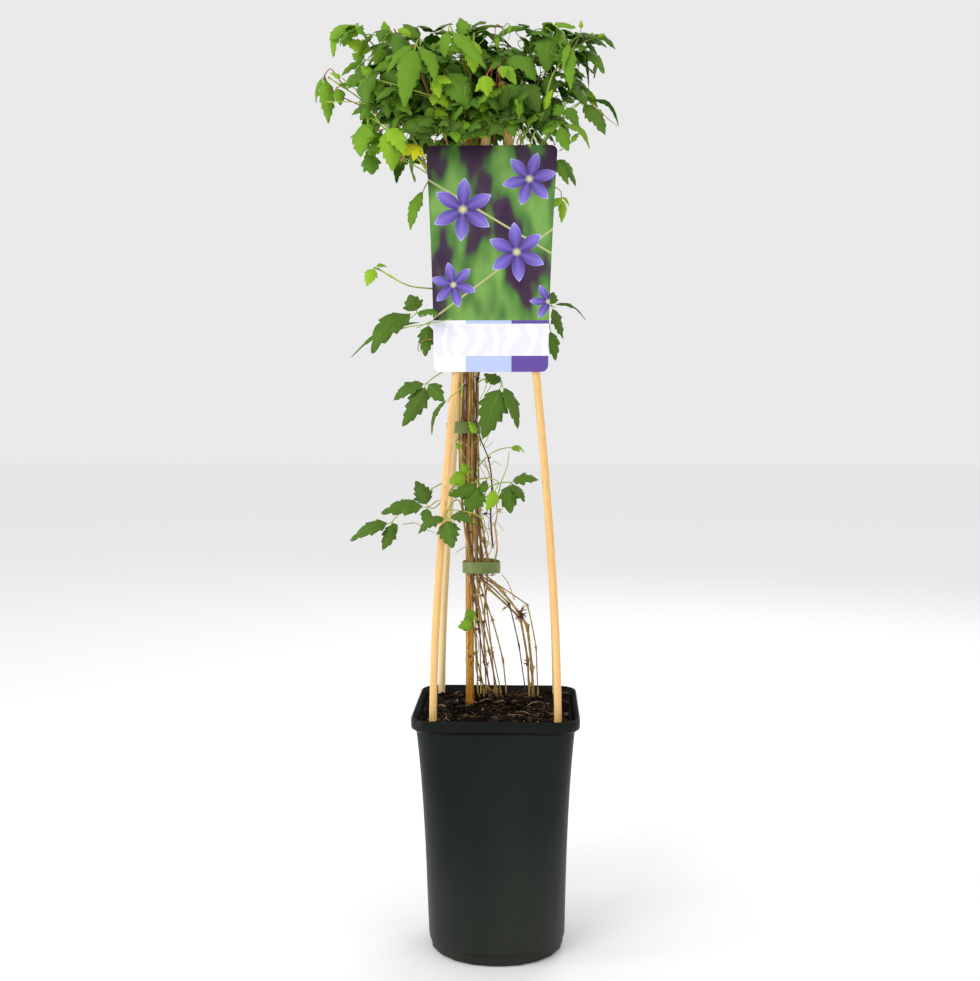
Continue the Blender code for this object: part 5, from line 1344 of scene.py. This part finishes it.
def make_pot_finish():
    """Dark green-black moulded plastic with faint scuffs, a fine grain, and a paler tint toward its base
    that is partly dust and partly painted light.
    """
    finish = Finish("moulded_pot", 0.34, 0.17)
    cloud = finish.noise(1.0, 2.0, (11.0, 11.0, 6.0))
    colour = finish.ramp(cloud, (0.35, POT_DARK), (0.65, POT_PALE))
    scuff = finish.noise(1.0, 5.0, (90.0, 90.0, 260.0), 0.7)
    scuffed = finish.remap(scuff, {"From Min": 0.68, "From Max": 0.80, "To Max": 0.35})
    colour = finish.blend(scuffed, colour, POT_SCUFF)
    up = finish.axes()["Z"]
    # Paler toward the base, patchy with the cloud: partly dust, partly painted light.
    dust_and_light = finish.remap(up, {"From Min": DUST_AND_LIGHT_TO, "From Max": 0.0})
    colour = finish.blend(finish.math("MULTIPLY", dust_and_light, cloud), colour, POT_DUST_AND_LIGHT)
    on_rim = finish.math("GREATER_THAN", up, RIM_SHADE_FROM)
    colour = finish.blend(finish.math("MULTIPLY", on_rim, 0.9), colour, RIM_SHADE)
    finish.feed(finish.shader, {"Roughness": finish.remap(cloud, {"To Min": 0.40, "To Max": 0.50})})
    return finish.done(colour, finish.noise(1400.0, 2.0), 0.12, 0.0002)


# Pot and soil

def ring_edges(shape, half, corner, z):
    """A closed loop of edges in the shape of the pot at a height."""
    verts = [shape.verts.new((point.x, point.y, z)) for point in rounded_square(half, corner)]
    return verts, [shape.edges.new((verts[index - 1], verts[index])) for index in range(len(verts))]


def close_rings(shape, rings):
    """Faces between each loop of edges and the next, and over the first and the last."""
    for (_, low), (_, high) in zip(rings, rings[1:]):
        bmesh.ops.bridge_loops(shape, edges=low + high)
    for _, edges in (rings[0], rings[-1]):
        bmesh.ops.contextual_create(shape, geom=edges)
    bmesh.ops.recalc_face_normals(shape, faces=shape.faces)


# The pot's small roundings, each a row of insets from the half width and heights
BASE_BEAD = ((0.004, 0.0), (0.0015, 0.0004), (0.0, 0.0020), (0.0, STEP_HEIGHT))
RIM_FOOT = ((0.0012, -0.0006), (0.0003, 0.0), (0.0, 0.0012))
RIM_LIP = ((0.0, -0.0012), (0.0004, -0.0003), (0.0008, 0.0), (0.0014, -0.0003))
WALL_STEPS = 13
INNER_HEIGHTS = (0.200, 0.180, 0.150, 0.110, 0.060, POT_FLOOR)


def pot_profile():
    """Half width, corner radius and height down the outside and up the inside of the pot."""
    band_low = POT_HEIGHT - RIM_HEIGHT
    rim_corner = CORNER_TOP + RIM_CHAMFER
    base = BASE_HALF - STEP_IN
    rows = [(base - inset, pot_corner(z, base - inset), z) for inset, z in BASE_BEAD]
    climb = band_low - RIM_CHAMFER - STEP_HEIGHT - STEP_IN
    for step in range(WALL_STEPS + 1):
        z = STEP_HEIGHT + STEP_IN + climb * step / WALL_STEPS
        rows.append((pot_half(z), pot_corner(z, pot_half(z)), z))
    for level, beads in ((band_low, RIM_FOOT), (POT_HEIGHT, RIM_LIP)):
        rows += [(RIM_HALF - inset, rim_corner, level + rise) for inset, rise in beads]
    rows.append((RIM_HALF - POT_WALL - 0.0002, rim_corner - POT_WALL, POT_HEIGHT - 0.0014))
    inner = pot_half(band_low) - POT_WALL
    rows.append((inner + 0.0004, CORNER_TOP, band_low + 0.0012))
    rows.append((inner, CORNER_TOP, band_low))
    for z in INNER_HEIGHTS:
        half = pot_half(z) - POT_WALL - (STEP_IN if z < STEP_HEIGHT else 0.0)
        rows.append((half, pot_corner(z, half), z))
    return rows


DRAIN_SIDES = 24
DRAIN_LENGTH = 0.02
DRAIN_LEVEL = 0.002
POT_SHARP_DEGREES = 38


def make_pot(finish):
    """The moulded pot, with its drains cut through the base."""
    shape = bmesh.new()
    close_rings(shape, [ring_edges(shape, half, corner, z) for half, corner, z in pot_profile()])
    pegs = []
    for index in range(DRAINS):
        angle = math.pi / DRAINS + index * math.tau / DRAINS
        peg = bmesh.new()
        bmesh.ops.create_cone(peg, cap_ends=True, segments=DRAIN_SIDES, radius1=DRAIN_RADIUS,
                              radius2=DRAIN_RADIUS, depth=DRAIN_LENGTH)
        place = (DRAIN_REACH * math.cos(angle), DRAIN_REACH * math.sin(angle), DRAIN_LEVEL)
        bmesh.ops.translate(peg, verts=peg.verts, vec=place)
        pegs.append(new_object(f"drain_cutter_{index}", mesh_from(peg, "drain")))
    pot = new_object("pot_rough", mesh_from(shape, "pot_rough"))
    for cutter in pegs:
        bite = pot.modifiers.new("drain", "BOOLEAN")
        bite.operation = "DIFFERENCE"
        bite.object = cutter
    bpy.context.view_layer.update()
    mesh = bpy.data.meshes.new_from_object(pot.evaluated_get(bpy.context.evaluated_depsgraph_get()))
    for spare in pegs + [pot]:
        bpy.data.objects.remove(spare)
    mesh.shade_smooth()
    mesh.set_sharp_from_angle(angle=math.radians(POT_SHARP_DEGREES))
    return new_piece("moulded_pot", mesh, [finish], "pot_plastic", "pot")


# Lumps of the peat's surface: waves over a metre, and height
PEAT_LUMPS = ((60, 0.0022), (190, 0.0013), (520, 0.0007))
PEAT_RINGS = 34
PEAT_HEIGHTS = (POT_FLOOR + GAP, 0.060, 0.110, 0.155, 0.190, 0.205, SOIL_TOP - 0.003)


def soil_height(x, y):
    """Height of the peat's rough surface."""
    spot = Vector((x, y, 0.0))
    return SOIL_TOP + sum(noise.noise(spot * waves) * height for waves, height in PEAT_LUMPS)


def make_soil(finish):
    """The bed of peat that fills the pot, rough on top."""
    shape = bmesh.new()
    rings = []
    for z in PEAT_HEIGHTS:
        inner = pot_half(z) - POT_WALL - GAP * 2 - (STEP_IN if z < STEP_HEIGHT else 0.0)
        rings.append(ring_edges(shape, inner, pot_corner(z, inner), z))
    rim = pot_half(SOIL_TOP) - POT_WALL - GAP * 3
    for step in range(PEAT_RINGS):
        share = 1.0 - step / PEAT_RINGS
        verts, edges = ring_edges(shape, rim * share, CORNER_TOP * share, SOIL_TOP)
        for vert in verts:
            vert.co.z = soil_height(vert.co.x, vert.co.y)
        rings.append((verts, edges))
    close_rings(shape, rings)
    mesh = mesh_from(shape, "peat_bed")
    mesh.shade_smooth()
    return new_piece("peat_bed", mesh, [finish], "peat", "soil")


CRUMBS = 1500
CRUMB_MARGIN = 0.005
CRUMB_LEAST = 0.0006
CRUMB_SPAN = 0.0026
CRUMB_RARITY = 3.2
CRUMB_SEED = 5
WHITE_EVERY = 110
WHITE_SIZE = 0.0007
CHIP_EVERY = 9


def make_crumbs(finishes, draw):
    """Lumps of peat, with a few white grains, over the bed."""
    shape = bmesh.new()
    reach = TOP_HALF - CRUMB_MARGIN
    for index in range(CRUMBS):
        x, y = draw.uniform(-reach, reach), draw.uniform(-reach, reach)
        size = CRUMB_LEAST + CRUMB_SPAN * draw.random() ** CRUMB_RARITY
        white = index % WHITE_EVERY == 0
        if white:
            size = WHITE_SIZE
        lump = bmesh.ops.create_icosphere(shape, subdivisions=1, radius=size)
        stretch = Vector((draw.uniform(0.5, 1.7), draw.uniform(0.5, 1.3), draw.uniform(0.3, 0.9)))
        for vert in lump["verts"]:
            co = vert.co * draw.uniform(0.55, 1.30)
            vert.co = Vector((co.x * stretch.x + x, co.y * stretch.y + y,
                              co.z * stretch.z + soil_height(x, y) + size * 0.25))
        for face in {face for vert in lump["verts"] for face in vert.link_faces}:
            face.material_index = 1 if white else (2 if index % CHIP_EVERY == 0 else 0)
    return new_piece("peat_crumbs", mesh_from(shape, "peat_crumbs"), finishes, "peat")


FIBRES = 190
FIBRE_MARGIN = 0.012
FIBRE_SEED = 6
FIBRE_RADII = (0.00010, 0.00028)
FIBRE_STEPS = 4
FIBRE_LIFT = 0.0003


def make_fibres(finishes, draw):
    """Straws and root hairs in the peat."""
    curve = strand_curve("peat_fibres", 1, finishes)
    reach = TOP_HALF - FIBRE_MARGIN
    for index in range(FIBRES):
        x, y = draw.uniform(-reach, reach), draw.uniform(-reach, reach)
        bearing = draw.uniform(0, math.tau)
        length = draw.uniform(0.004, 0.016)
        turn = draw.uniform(-1.2, 1.2)
        lift = draw.uniform(0.0, 0.003)
        points = []
        for step in range(FIBRE_STEPS + 1):
            share = step / FIBRE_STEPS
            angle = bearing + turn * share
            px = x + math.cos(angle) * length * share
            py = y + math.sin(angle) * length * share
            rise = lift * math.sin(math.pi * share)
            points.append(Vector((px, py, soil_height(px, py) + FIBRE_LIFT + rise)))
        add_spline(curve, points, draw.uniform(*FIBRE_RADII), int(index % 5 == 0))
    return new_piece("peat_fibres", curve, finishes, "peat")


# Rods, cane, straps and card

def make_rod(name, signs, finish):
    """A peeled rod in one corner, bent inward at its top."""
    curve = strand_curve("rod_" + name, 6, [finish])
    add_spline(curve, smooth_path(rod_points(*signs), 5), ROD_RADIUS, 0)
    return new_piece("peeled_rod_" + name, curve, [finish], "pale_wood", "rod_" + name)


CANE_STEPS = 220
CANE_TAPER = 0.15
NODE_FIRST = 0.262
NODE_SPACING = 0.136


def make_cane(finish):
    """A bamboo cane that tapers, with a swelling and a groove at each of its nodes."""
    curve = strand_curve("bamboo_cane", 6, [finish])
    points = []
    radii = []
    half = NODE_SPACING / 2
    for step in range(CANE_STEPS + 1):
        z = CANE_FOOT + (CANE_TOP - CANE_FOOT) * step / CANE_STEPS
        radius = CANE_RADIUS * (1 - CANE_TAPER * (step / CANE_STEPS))
        near = abs((z - NODE_FIRST + half) % NODE_SPACING - half)
        swell = 0.14 * math.exp(-(near / 0.0022) ** 2)
        groove = 0.05 * math.exp(-((near - 0.004) / 0.002) ** 2)
        points.append(cane_axis(z))
        radii.append(radius * (1.0 + swell - groove))
    add_spline(curve, points, radii, 0)
    return new_piece("bamboo_cane", curve, [finish], "cane_skin", "cane")


def picked(result, kind):
    """The corners or the faces among what an operator made."""
    return [item for item in result["geom"] if isinstance(item, kind)]


STRAP_SIDES = 72
BUCKLE_SIZE = (0.007, 0.0022, TIE_HEIGHT * 0.9)
BUCKLE_ROUNDING = 0.0005


def make_strap(name, centre, half_x, half_y, low, finish):
    """A soft strap: an uneven oval band with a small buckle at the back."""
    shape = bmesh.new()
    circle = bmesh.ops.create_circle(shape, segments=STRAP_SIDES, radius=1.0)
    for vert in circle["verts"]:
        angle = math.atan2(vert.co.y, vert.co.x)
        slack = 1.0 + 0.012 * math.sin(angle * 3 + low * 90)
        vert.co = Vector((centre[0] + (half_x - TIE_THICKNESS / 2) * math.cos(angle) * slack,
                          centre[1] + (half_y - TIE_THICKNESS / 2) * math.sin(angle) * slack,
                          low + 0.0006 * math.sin(angle * 2 + low * 50)))
    raised = bmesh.ops.extrude_edge_only(shape, edges=list(shape.edges))
    bmesh.ops.translate(shape, verts=picked(raised, bmesh.types.BMVert), vec=(0.0, 0.0, TIE_HEIGHT))
    upright = [edge for edge in shape.edges
               if abs(edge.verts[0].co.z - edge.verts[1].co.z) > TIE_HEIGHT / 2]
    bmesh.ops.subdivide_edges(shape, edges=upright, cuts=3, use_grid_fill=True)
    bmesh.ops.recalc_face_normals(shape, faces=shape.faces)
    mesh = mesh_from(shape, "strap_" + name)
    mesh.shade_smooth()
    piece = new_piece("strap_" + name, mesh, [finish], "tie_plastic", name)
    wall = piece.modifiers.new("wall", "SOLIDIFY")
    wall.thickness = TIE_THICKNESS * 0.8
    wall.offset = 0.0
    rounding = piece.modifiers.new("soft_edge", "BEVEL")
    rounding.width = 0.0002
    rounding.segments = 2
    rounding.limit_method = "ANGLE"
    buckle = bmesh.new()
    bmesh.ops.create_cube(buckle, size=1.0)
    bmesh.ops.scale(buckle, verts=buckle.verts, vec=BUCKLE_SIZE)
    bmesh.ops.bevel(buckle, geom=list(buckle.edges), offset=BUCKLE_ROUNDING, segments=2, profile=0.5,
                    affect="EDGES", material=-1)
    place = (centre[0], centre[1] + half_y - 0.0002, low + TIE_HEIGHT / 2)
    bmesh.ops.translate(buckle, verts=buckle.verts, vec=place)
    new_piece("buckle_" + name, mesh_from(buckle, "buckle_" + name), [finish], "tie_plastic")
    return piece


CARD_FACE_TOP = (0.7322, 0.1175)
CARD_FLARE = 1.6
CARD_SIDE_STEPS = 12


def card_half(z):
    """Half the width of the card at a height: it flares toward its top."""
    share = (z - CARD_BOTTOM[0]) / (CARD_FACE_TOP[0] - CARD_BOTTOM[0])
    return (CARD_BOTTOM[1] + (CARD_FACE_TOP[1] - CARD_BOTTOM[1]) * max(0.0, share) ** CARD_FLARE) / 2


def card_face_outline():
    """The card's outline from its lower left corner round by the right, as x and height."""
    bottom, top = CARD_BOTTOM[0], CARD_FACE_TOP[0]
    right = []
    for step in range(7):
        angle = step / 6 * math.pi / 2
        z = bottom + CARD_CORNER * (1 - math.cos(angle))
        right.append((card_half(z) - CARD_CORNER * (1 - math.sin(angle)), z))
    for step in range(1, CARD_SIDE_STEPS):
        z = bottom + CARD_CORNER + (top - bottom - CARD_CORNER * 2) * step / CARD_SIDE_STEPS
        right.append((card_half(z), z))
    for step in range(7):
        angle = step / 6 * math.pi / 2
        z = top - CARD_CORNER * (1 - math.sin(angle))
        right.append((card_half(z) - CARD_CORNER * (1 - math.cos(angle)), z))
    left = [(-x, z) for x, z in reversed(right)]
    return [(x + CARD_X, z) for x, z in right + left]


TONGUE_STEPS = 16


def add_tongue(shape, side):
    """A strip of the card that loops round a front rod from behind the card."""
    middle = side * rod_reach(TONGUE_LEVEL)
    back = card_plane(TONGUE_LEVEL) + CARD_THICKNESS * 0.2
    low = []
    for step in range(TONGUE_STEPS + 1):
        angle = math.pi * step / TONGUE_STEPS
        low.append(shape.verts.new((middle - TONGUE_RUN * math.cos(angle),
                                    back + TONGUE_DEPTH * math.sin(angle) ** 0.6,
                                    TONGUE_LEVEL - TONGUE_HEIGHT / 2)))
    edges = [shape.edges.new(pair) for pair in zip(low, low[1:])]
    raised = bmesh.ops.extrude_edge_only(shape, edges=edges)
    bmesh.ops.translate(shape, verts=picked(raised, bmesh.types.BMVert), vec=(0.0, 0.0, TONGUE_HEIGHT))
    walls = picked(raised, bmesh.types.BMFace)
    bmesh.ops.solidify(shape, geom=walls, thickness=CARD_THICKNESS * 0.6)


def make_card(finishes):
    """The card with its tongues round the front rods."""
    shape = bmesh.new()
    front = [shape.verts.new((x, card_plane(z) - CARD_THICKNESS, z)) for x, z in card_face_outline()]
    face = shape.faces.new(front)
    swept = bmesh.ops.extrude_face_region(shape, geom=[face], use_keep_orig=True)
    bmesh.ops.translate(shape, verts=picked(swept, bmesh.types.BMVert), vec=(0.0, CARD_THICKNESS, 0.0))
    bmesh.ops.recalc_face_normals(shape, faces=shape.faces)
    for side in (-1, 1):
        add_tongue(shape, side)
    shape.normal_update()
    for polygon in shape.faces:
        polygon.material_index = 0 if polygon.normal.y < -0.9 and polygon.calc_area() > 0.001 else 1
    mesh = mesh_from(shape, "picture_card")
    return new_piece("picture_card", mesh, finishes, "card_plastic", "label_card")


FLOWER_PETALS = 6.0


def make_flower_group():
    """A group that draws one round printed flower: masks of its petals and heart, and their shade."""
    numbers = ("Across", "Up", "Centre Across", "Centre Up", "Size", "Turn")
    tree, given, results = new_group(PRINTED_FLOWER, dict.fromkeys(numbers, "Float"),
                                     dict.fromkeys(("Petals", "Shade", "Heart"), "Float"))
    across = tree.math("SUBTRACT", given["Across"], given["Centre Across"])
    up = tree.math("SUBTRACT", given["Up"], given["Centre Up"])
    square = tree.math("ADD", tree.math("MULTIPLY", across, across), tree.math("MULTIPLY", up, up))
    reach = tree.math("DIVIDE", tree.math("SQRT", square), given["Size"])
    angle = tree.math("ADD", tree.math("ARCTAN2", up, across), given["Turn"])
    turned = tree.math("FRACT", tree.math("MULTIPLY", angle, FLOWER_PETALS / math.tau))
    off = tree.math("ABSOLUTE", tree.math("SUBTRACT", turned, 0.5))
    beat = tree.math("SUBTRACT", 1.0, tree.math("MULTIPLY", off, 2.0))
    edge = tree.math("ADD", tree.math("MULTIPLY", tree.math("POWER", beat, 0.62), 0.76), 0.24)
    inside = tree.math("MULTIPLY", tree.math("SUBTRACT", edge, reach), 26.0)
    speckle = tree.math("MULTIPLY", tree.math("SINE", tree.math("MULTIPLY", angle, 24.0)), 0.045)
    heart = tree.math("MULTIPLY", tree.math("SUBTRACT", tree.math("ADD", speckle, 0.13), reach), 18.0)
    lines = tree.math("MULTIPLY", tree.math("SINE", tree.math("MULTIPLY", angle, 66.0)), 0.06)
    rim = tree.math("MULTIPLY", tree.math("LESS_THAN", inside, 1.6), 0.22)
    glow = tree.math("ADD", tree.math("MULTIPLY", beat, 0.38), tree.math("MULTIPLY", reach, 0.42))
    shade = tree.math("ADD", glow, tree.math("ADD", lines, rim))
    tree.feed(results, {"Petals": tree.clamp(inside), "Heart": tree.clamp(heart), "Shade": shade})


# Printed flowers: centre across and up, size, all in metres, and the turn in radians
PRINTED_FLOWERS = ((0.0290, 0.7020, 0.0250, 0.3), (-0.0300, 0.6750, 0.0290, 1.1),
                   (0.0180, 0.6370, 0.0270, 2.0), (-0.0380, 0.6080, 0.0210, 0.8),
                   (0.0460, 0.5930, 0.0170, 1.6))
# Printed stalks: rise for each metre across, and height in metres at the middle
PRINTED_STALKS = ((0.75, 0.6200), (-0.60, 0.6650))
STALK_HALF_WIDTH = 0.0011
PLUM = (0.034, 0.010, 0.042)
LEAF_PRINT = (0.075, 0.22, 0.030)
PALE_LEAF_PRINT = (0.20, 0.42, 0.08)
STALK_PRINT = (0.42, 0.46, 0.18)
STAMEN_PRINT = (0.62, 0.62, 0.30)
STRIP_TOP, BAND_TOP, SLIVER_LOW = 0.5452, 0.5765, 0.5735
BLUE_FROM, PURPLE_FROM = -0.0268, 0.0136
CARD_BLUE = (0.46, 0.54, 0.80)
CARD_PURPLE = (0.115, 0.065, 0.32)
CARD_WHITE = (0.84, 0.84, 0.88)
VIOLET_STOPS = ((0.15, (0.055, 0.030, 0.17)), (0.50, (0.15, 0.10, 0.46)), (0.80, (0.27, 0.21, 0.66)),
                (1.0, (0.52, 0.50, 0.90)))


def make_card_finish():
    """A print of violet flowers before leaves, over a pale band and a strip of blocks."""
    finish = Finish("card_picture", 0.30, 0.3)
    axes = finish.axes()
    across, up = axes["X"], axes["Z"]
    blur = finish.noise(1.0, 2.0, (38.0, 38.0, 17.0))
    picture = finish.ramp(blur, (0.36, PLUM), (0.45, (0.05, 0.03, 0.05)), (0.52, LEAF_PRINT),
                          (0.66, PALE_LEAF_PRINT))
    streaks = finish.noise(1.0, 3.0, (150.0, 150.0, 30.0))
    picture = finish.blend(finish.math("MULTIPLY", streaks, 0.35), picture, PLUM)
    for slope, level in PRINTED_STALKS:
        line = finish.math("ADD", finish.math("MULTIPLY", across, slope), level)
        off = finish.math("ABSOLUTE", finish.math("SUBTRACT", up, line))
        picture = finish.blend(finish.math("LESS_THAN", off, STALK_HALF_WIDTH), picture, STALK_PRINT)
    for centre_across, centre_up, size, turn in PRINTED_FLOWERS:
        flower = finish.group(PRINTED_FLOWER, {"Across": across, "Up": up, "Centre Across": centre_across,
                                               "Centre Up": centre_up, "Size": size, "Turn": turn})
        violet = finish.ramp(flower["Shade"], *VIOLET_STOPS)
        picture = finish.blend(flower["Petals"], picture, violet)
        picture = finish.blend(flower["Heart"], picture, STAMEN_PRINT)
    strip = finish.blend(finish.math("GREATER_THAN", across, BLUE_FROM), CARD_WHITE, CARD_BLUE)
    strip = finish.blend(finish.math("GREATER_THAN", across, PURPLE_FROM), strip, CARD_PURPLE)
    wobble = finish.math("MULTIPLY", finish.noise(45.0, 1.0), 16.0)
    wave = finish.math("SINE", finish.math("ADD", finish.math("MULTIPLY", across, 420.0), wobble))
    band = finish.ramp(wave, (0.0, (0.76, 0.75, 0.86)), (0.9, (0.88, 0.88, 0.93)))
    colour = strip
    for level, above in ((STRIP_TOP, band), (SLIVER_LOW, strip), (BAND_TOP, picture)):
        colour = finish.blend(finish.math("GREATER_THAN", up, level), colour, above)
    return finish.done(colour, finish.noise(900.0, 2.0), 0.05, 0.0001)


# Light, floor and camera

# Lights: name, place, what they point at, size and power
LIGHTS = (("key", (-1.1, -1.7, 1.9), (0, 0, 0.5), (1.0, 1.0), 17),
          ("fill", (1.5, -1.3, 1.1), (0, 0, 0.45), (1.0, 1.4), 4),
          ("rim", (0.6, 1.6, 1.6), (0, 0, 0.5), (1.2, 1.0), 9),
          ("edge", (-1.2, -0.35, 0.35), (0, 0, 0.2), (0.4, 0.9), 5))
FLOOR_HALF = 9.0
FLOOR_COLOUR = (0.96, 0.96, 0.96)
SKY_STRENGTH = 0.82


def add_light(name, place, target, size, power):
    """A rectangular lamp that points at a target."""
    lamp = bpy.data.lights.new(name, "AREA")
    lamp.shape = "RECTANGLE"
    lamp.size, lamp.size_y = size
    lamp.energy = power
    lamp_object = new_object(name, lamp)
    lamp_object.location = place
    lamp_object.rotation_euler = (Vector(target) - Vector(place)).to_track_quat("-Z", "Y").to_euler()


def make_stage():
    """A white floor and sky with four lamps."""
    shape = bmesh.new()
    bmesh.ops.create_grid(shape, x_segments=1, y_segments=1, size=FLOOR_HALF)
    floor = new_object("floor", mesh_from(shape, "floor"))
    paper = Finish("floor_paper", 0.9)
    paper.feed(paper.shader, {"Base Color": FLOOR_COLOUR})
    floor.data.materials.append(paper.material)
    world = bpy.data.worlds.new("studio")
    bpy.context.scene.world = world
    world.use_nodes = True
    sky = Tree(world.node_tree)
    sky.feed(sky.nodes["Background"], {"Color": WHITE, "Strength": SKY_STRENGTH})
    for light in LIGHTS:
        add_light(*light)


CAMERA_PLACE = (0.0331, -1.1993, 0.5071)
CAMERA_YAW = -0.0331
CAMERA_TILT = 0.0697
FOCAL_PIXELS = 1309.2
IMAGE_HEIGHT = 981
SENSOR = 36.0


def make_camera():
    """The camera as it was fitted to the photograph."""
    data = bpy.data.cameras.new("camera")
    data.sensor_width = SENSOR
    data.lens = FOCAL_PIXELS / IMAGE_HEIGHT * SENSOR
    data.clip_start = 0.05
    camera = new_object("camera", data)
    camera.location = CAMERA_PLACE
    camera.rotation_euler = (math.pi / 2 - CAMERA_TILT, 0.0, -CAMERA_YAW)
    bpy.context.scene.camera = camera
    bpy.context.scene.view_settings.view_transform = "Standard"


BARK_GRAIN = (420.0, 420.0, 60.0)
# Finishes of two colours: the colours, the scale of the noise, the roughness, and what else is set
PLAIN_FINISHES = {
    "stem_bark": ((0.17, 0.10, 0.020), (0.64, 0.44, 0.14), 1.0, 0.7,
                  {"stretch": BARK_GRAIN, "bump": 0.5, "distance": 0.0003}),
    "green_stalk": ((0.20, 0.32, 0.03), (0.42, 0.52, 0.07), 90.0, 0.5, {}),
    "red_stalk": ((0.24, 0.05, 0.03), (0.42, 0.14, 0.06), 90.0, 0.5, {}),
    "purple_bark": ((0.045, 0.014, 0.012), (0.20, 0.075, 0.045), 1.0, 0.7,
                    {"stretch": BARK_GRAIN, "bump": 0.5, "distance": 0.0003}),
    "peat": ((0.0003, 0.0002, 0.0001), (0.0095, 0.0048, 0.0016), 330.0, 0.9,
             {"bump": 1.0, "distance": 0.002, "specular": 0.06}),
    "bark_chip": ((0.010, 0.004, 0.001), (0.13, 0.062, 0.018), 240.0, 0.7,
                  {"bump": 0.8, "distance": 0.001}),
    "white_grain": ((0.55, 0.54, 0.50), (0.80, 0.79, 0.74), 300.0, 0.9, {}),
    "straw": ((0.32, 0.17, 0.06), (0.60, 0.42, 0.18), 200.0, 0.7, {}),
    "dark_fibre": ((0.05, 0.025, 0.012), (0.14, 0.07, 0.03), 200.0, 0.8, {}),
    "soft_strap": ((0.120, 0.170, 0.040), (0.165, 0.218, 0.062), 60.0, 0.42,
                   {"bump": 0.1, "distance": 0.0002}),
    "card_white": ((0.78, 0.78, 0.80), (0.84, 0.84, 0.86), 40.0, 0.35, {"bump": 0.02}),
}
# Peeled wood: the two colours of its grain, and that of its blotches
FRONT_WOOD = ((0.66, 0.35, 0.105), (0.86, 0.53, 0.200), (0.89, 0.60, 0.27))
# The back rods' wood is a paler copy of the front rods' wood: painted light from behind.
BACK_WOOD_PAINTED_LIT = ((0.66, 0.46, 0.19), (0.84, 0.64, 0.32), (0.86, 0.70, 0.40))
ROD_CORNERS = {"front_left": (-1, -1), "front_right": (1, -1),
               "back_left": (-1, 1), "back_right": (1, 1)}
POST_LEVELS = (0.0, 0.5, 1.0)
LEAF_SEED = 11


def strap_posts(centre, half_x, half_y, low):
    """The loops along a strap's wall that the stems keep clear of."""
    turns = [index * math.tau / TIE_SIDES for index in range(TIE_SIDES + 1)]
    wall = [Vector((centre[0] + half_x * math.cos(turn), centre[1] + half_y * math.sin(turn), low))
            for turn in turns]
    return [([point + Vector((0, 0, TIE_HEIGHT * level)) for point in wall], TIE_THICKNESS)
            for level in POST_LEVELS]


def main():
    """Build every piece with its finishes, then the stage and the camera."""
    make_noise_group()
    make_grain_group()
    make_vein_group()
    make_flower_group()
    blade_finishes = [make_leaf_finish("leaf_upper_side", 0.0, 0.42),
                      make_leaf_finish("leaf_under_side", 0.30, 0.6)]
    plain = {name: make_plain_finish(name, *values, **options)
             for name, (*values, options) in PLAIN_FINISHES.items()}
    stem_finishes = [plain[name] for name in ("stem_bark", "green_stalk", "red_stalk", "purple_bark")]
    front_wood = make_rod_finish("peeled_wood", *FRONT_WOOD)
    # A paler copy of the wood for the back rods: painted light from behind.
    back_wood_painted_lit = make_rod_finish("peeled_wood_painted_backlit", *BACK_WOOD_PAINTED_LIT)

    posts = []
    for name, (side, depth) in ROD_CORNERS.items():
        make_rod(name, (side, depth), front_wood if depth < 0 else back_wood_painted_lit)
        posts.append((rod_points(side, depth), ROD_RADIUS))
    make_cane(make_cane_finish())
    posts.append(([cane_axis(z) for z in (CANE_FOOT, CANE_TOP)], CANE_RADIUS))
    for name, centre, half_x, half_y, low in TIES:
        make_strap(name, centre, half_x, half_y, low, plain["soft_strap"])
        posts += strap_posts(centre, half_x, half_y, low)
    make_card([make_card_finish(), plain["card_white"]])
    make_pot(make_pot_finish())
    make_soil(plain["peat"])
    make_crumbs([plain["peat"], plain["white_grain"], plain["bark_chip"]], random.Random(CRUMB_SEED))
    make_fibres([plain["dark_fibre"], plain["straw"]], random.Random(FIBRE_SEED))

    stems = {row[0]: even_path(smooth_path(stem_points(order, row), 8), STEM_SPACING)
             for order, row in enumerate(STEMS)}
    settle(stems, posts_of(posts))
    coarse = {name: [stem[0]] + stem[ROOT_POINTS:-1:STEM_STRIDE] + [stem[-1]]
              for name, stem in stems.items()}
    trees = {name: tree_of([vert.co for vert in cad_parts["vine_" + name].data.vertices])
             for name in stems}
    leaves = find_leaves(coarse, trees)
    draw = random.Random(LEAF_SEED)
    for name, stem in stems.items():
        make_leaves("leaves_" + name, leaves[name], blade_finishes, draw, FINE_GRID, "vine_" + name)
        make_stems(name, stem, leaves[name], stem_finishes, draw)
    make_fill(stems, blade_finishes, stem_finishes)
    make_strands(stem_finishes, blade_finishes)
    make_stage()
    make_camera()


main()
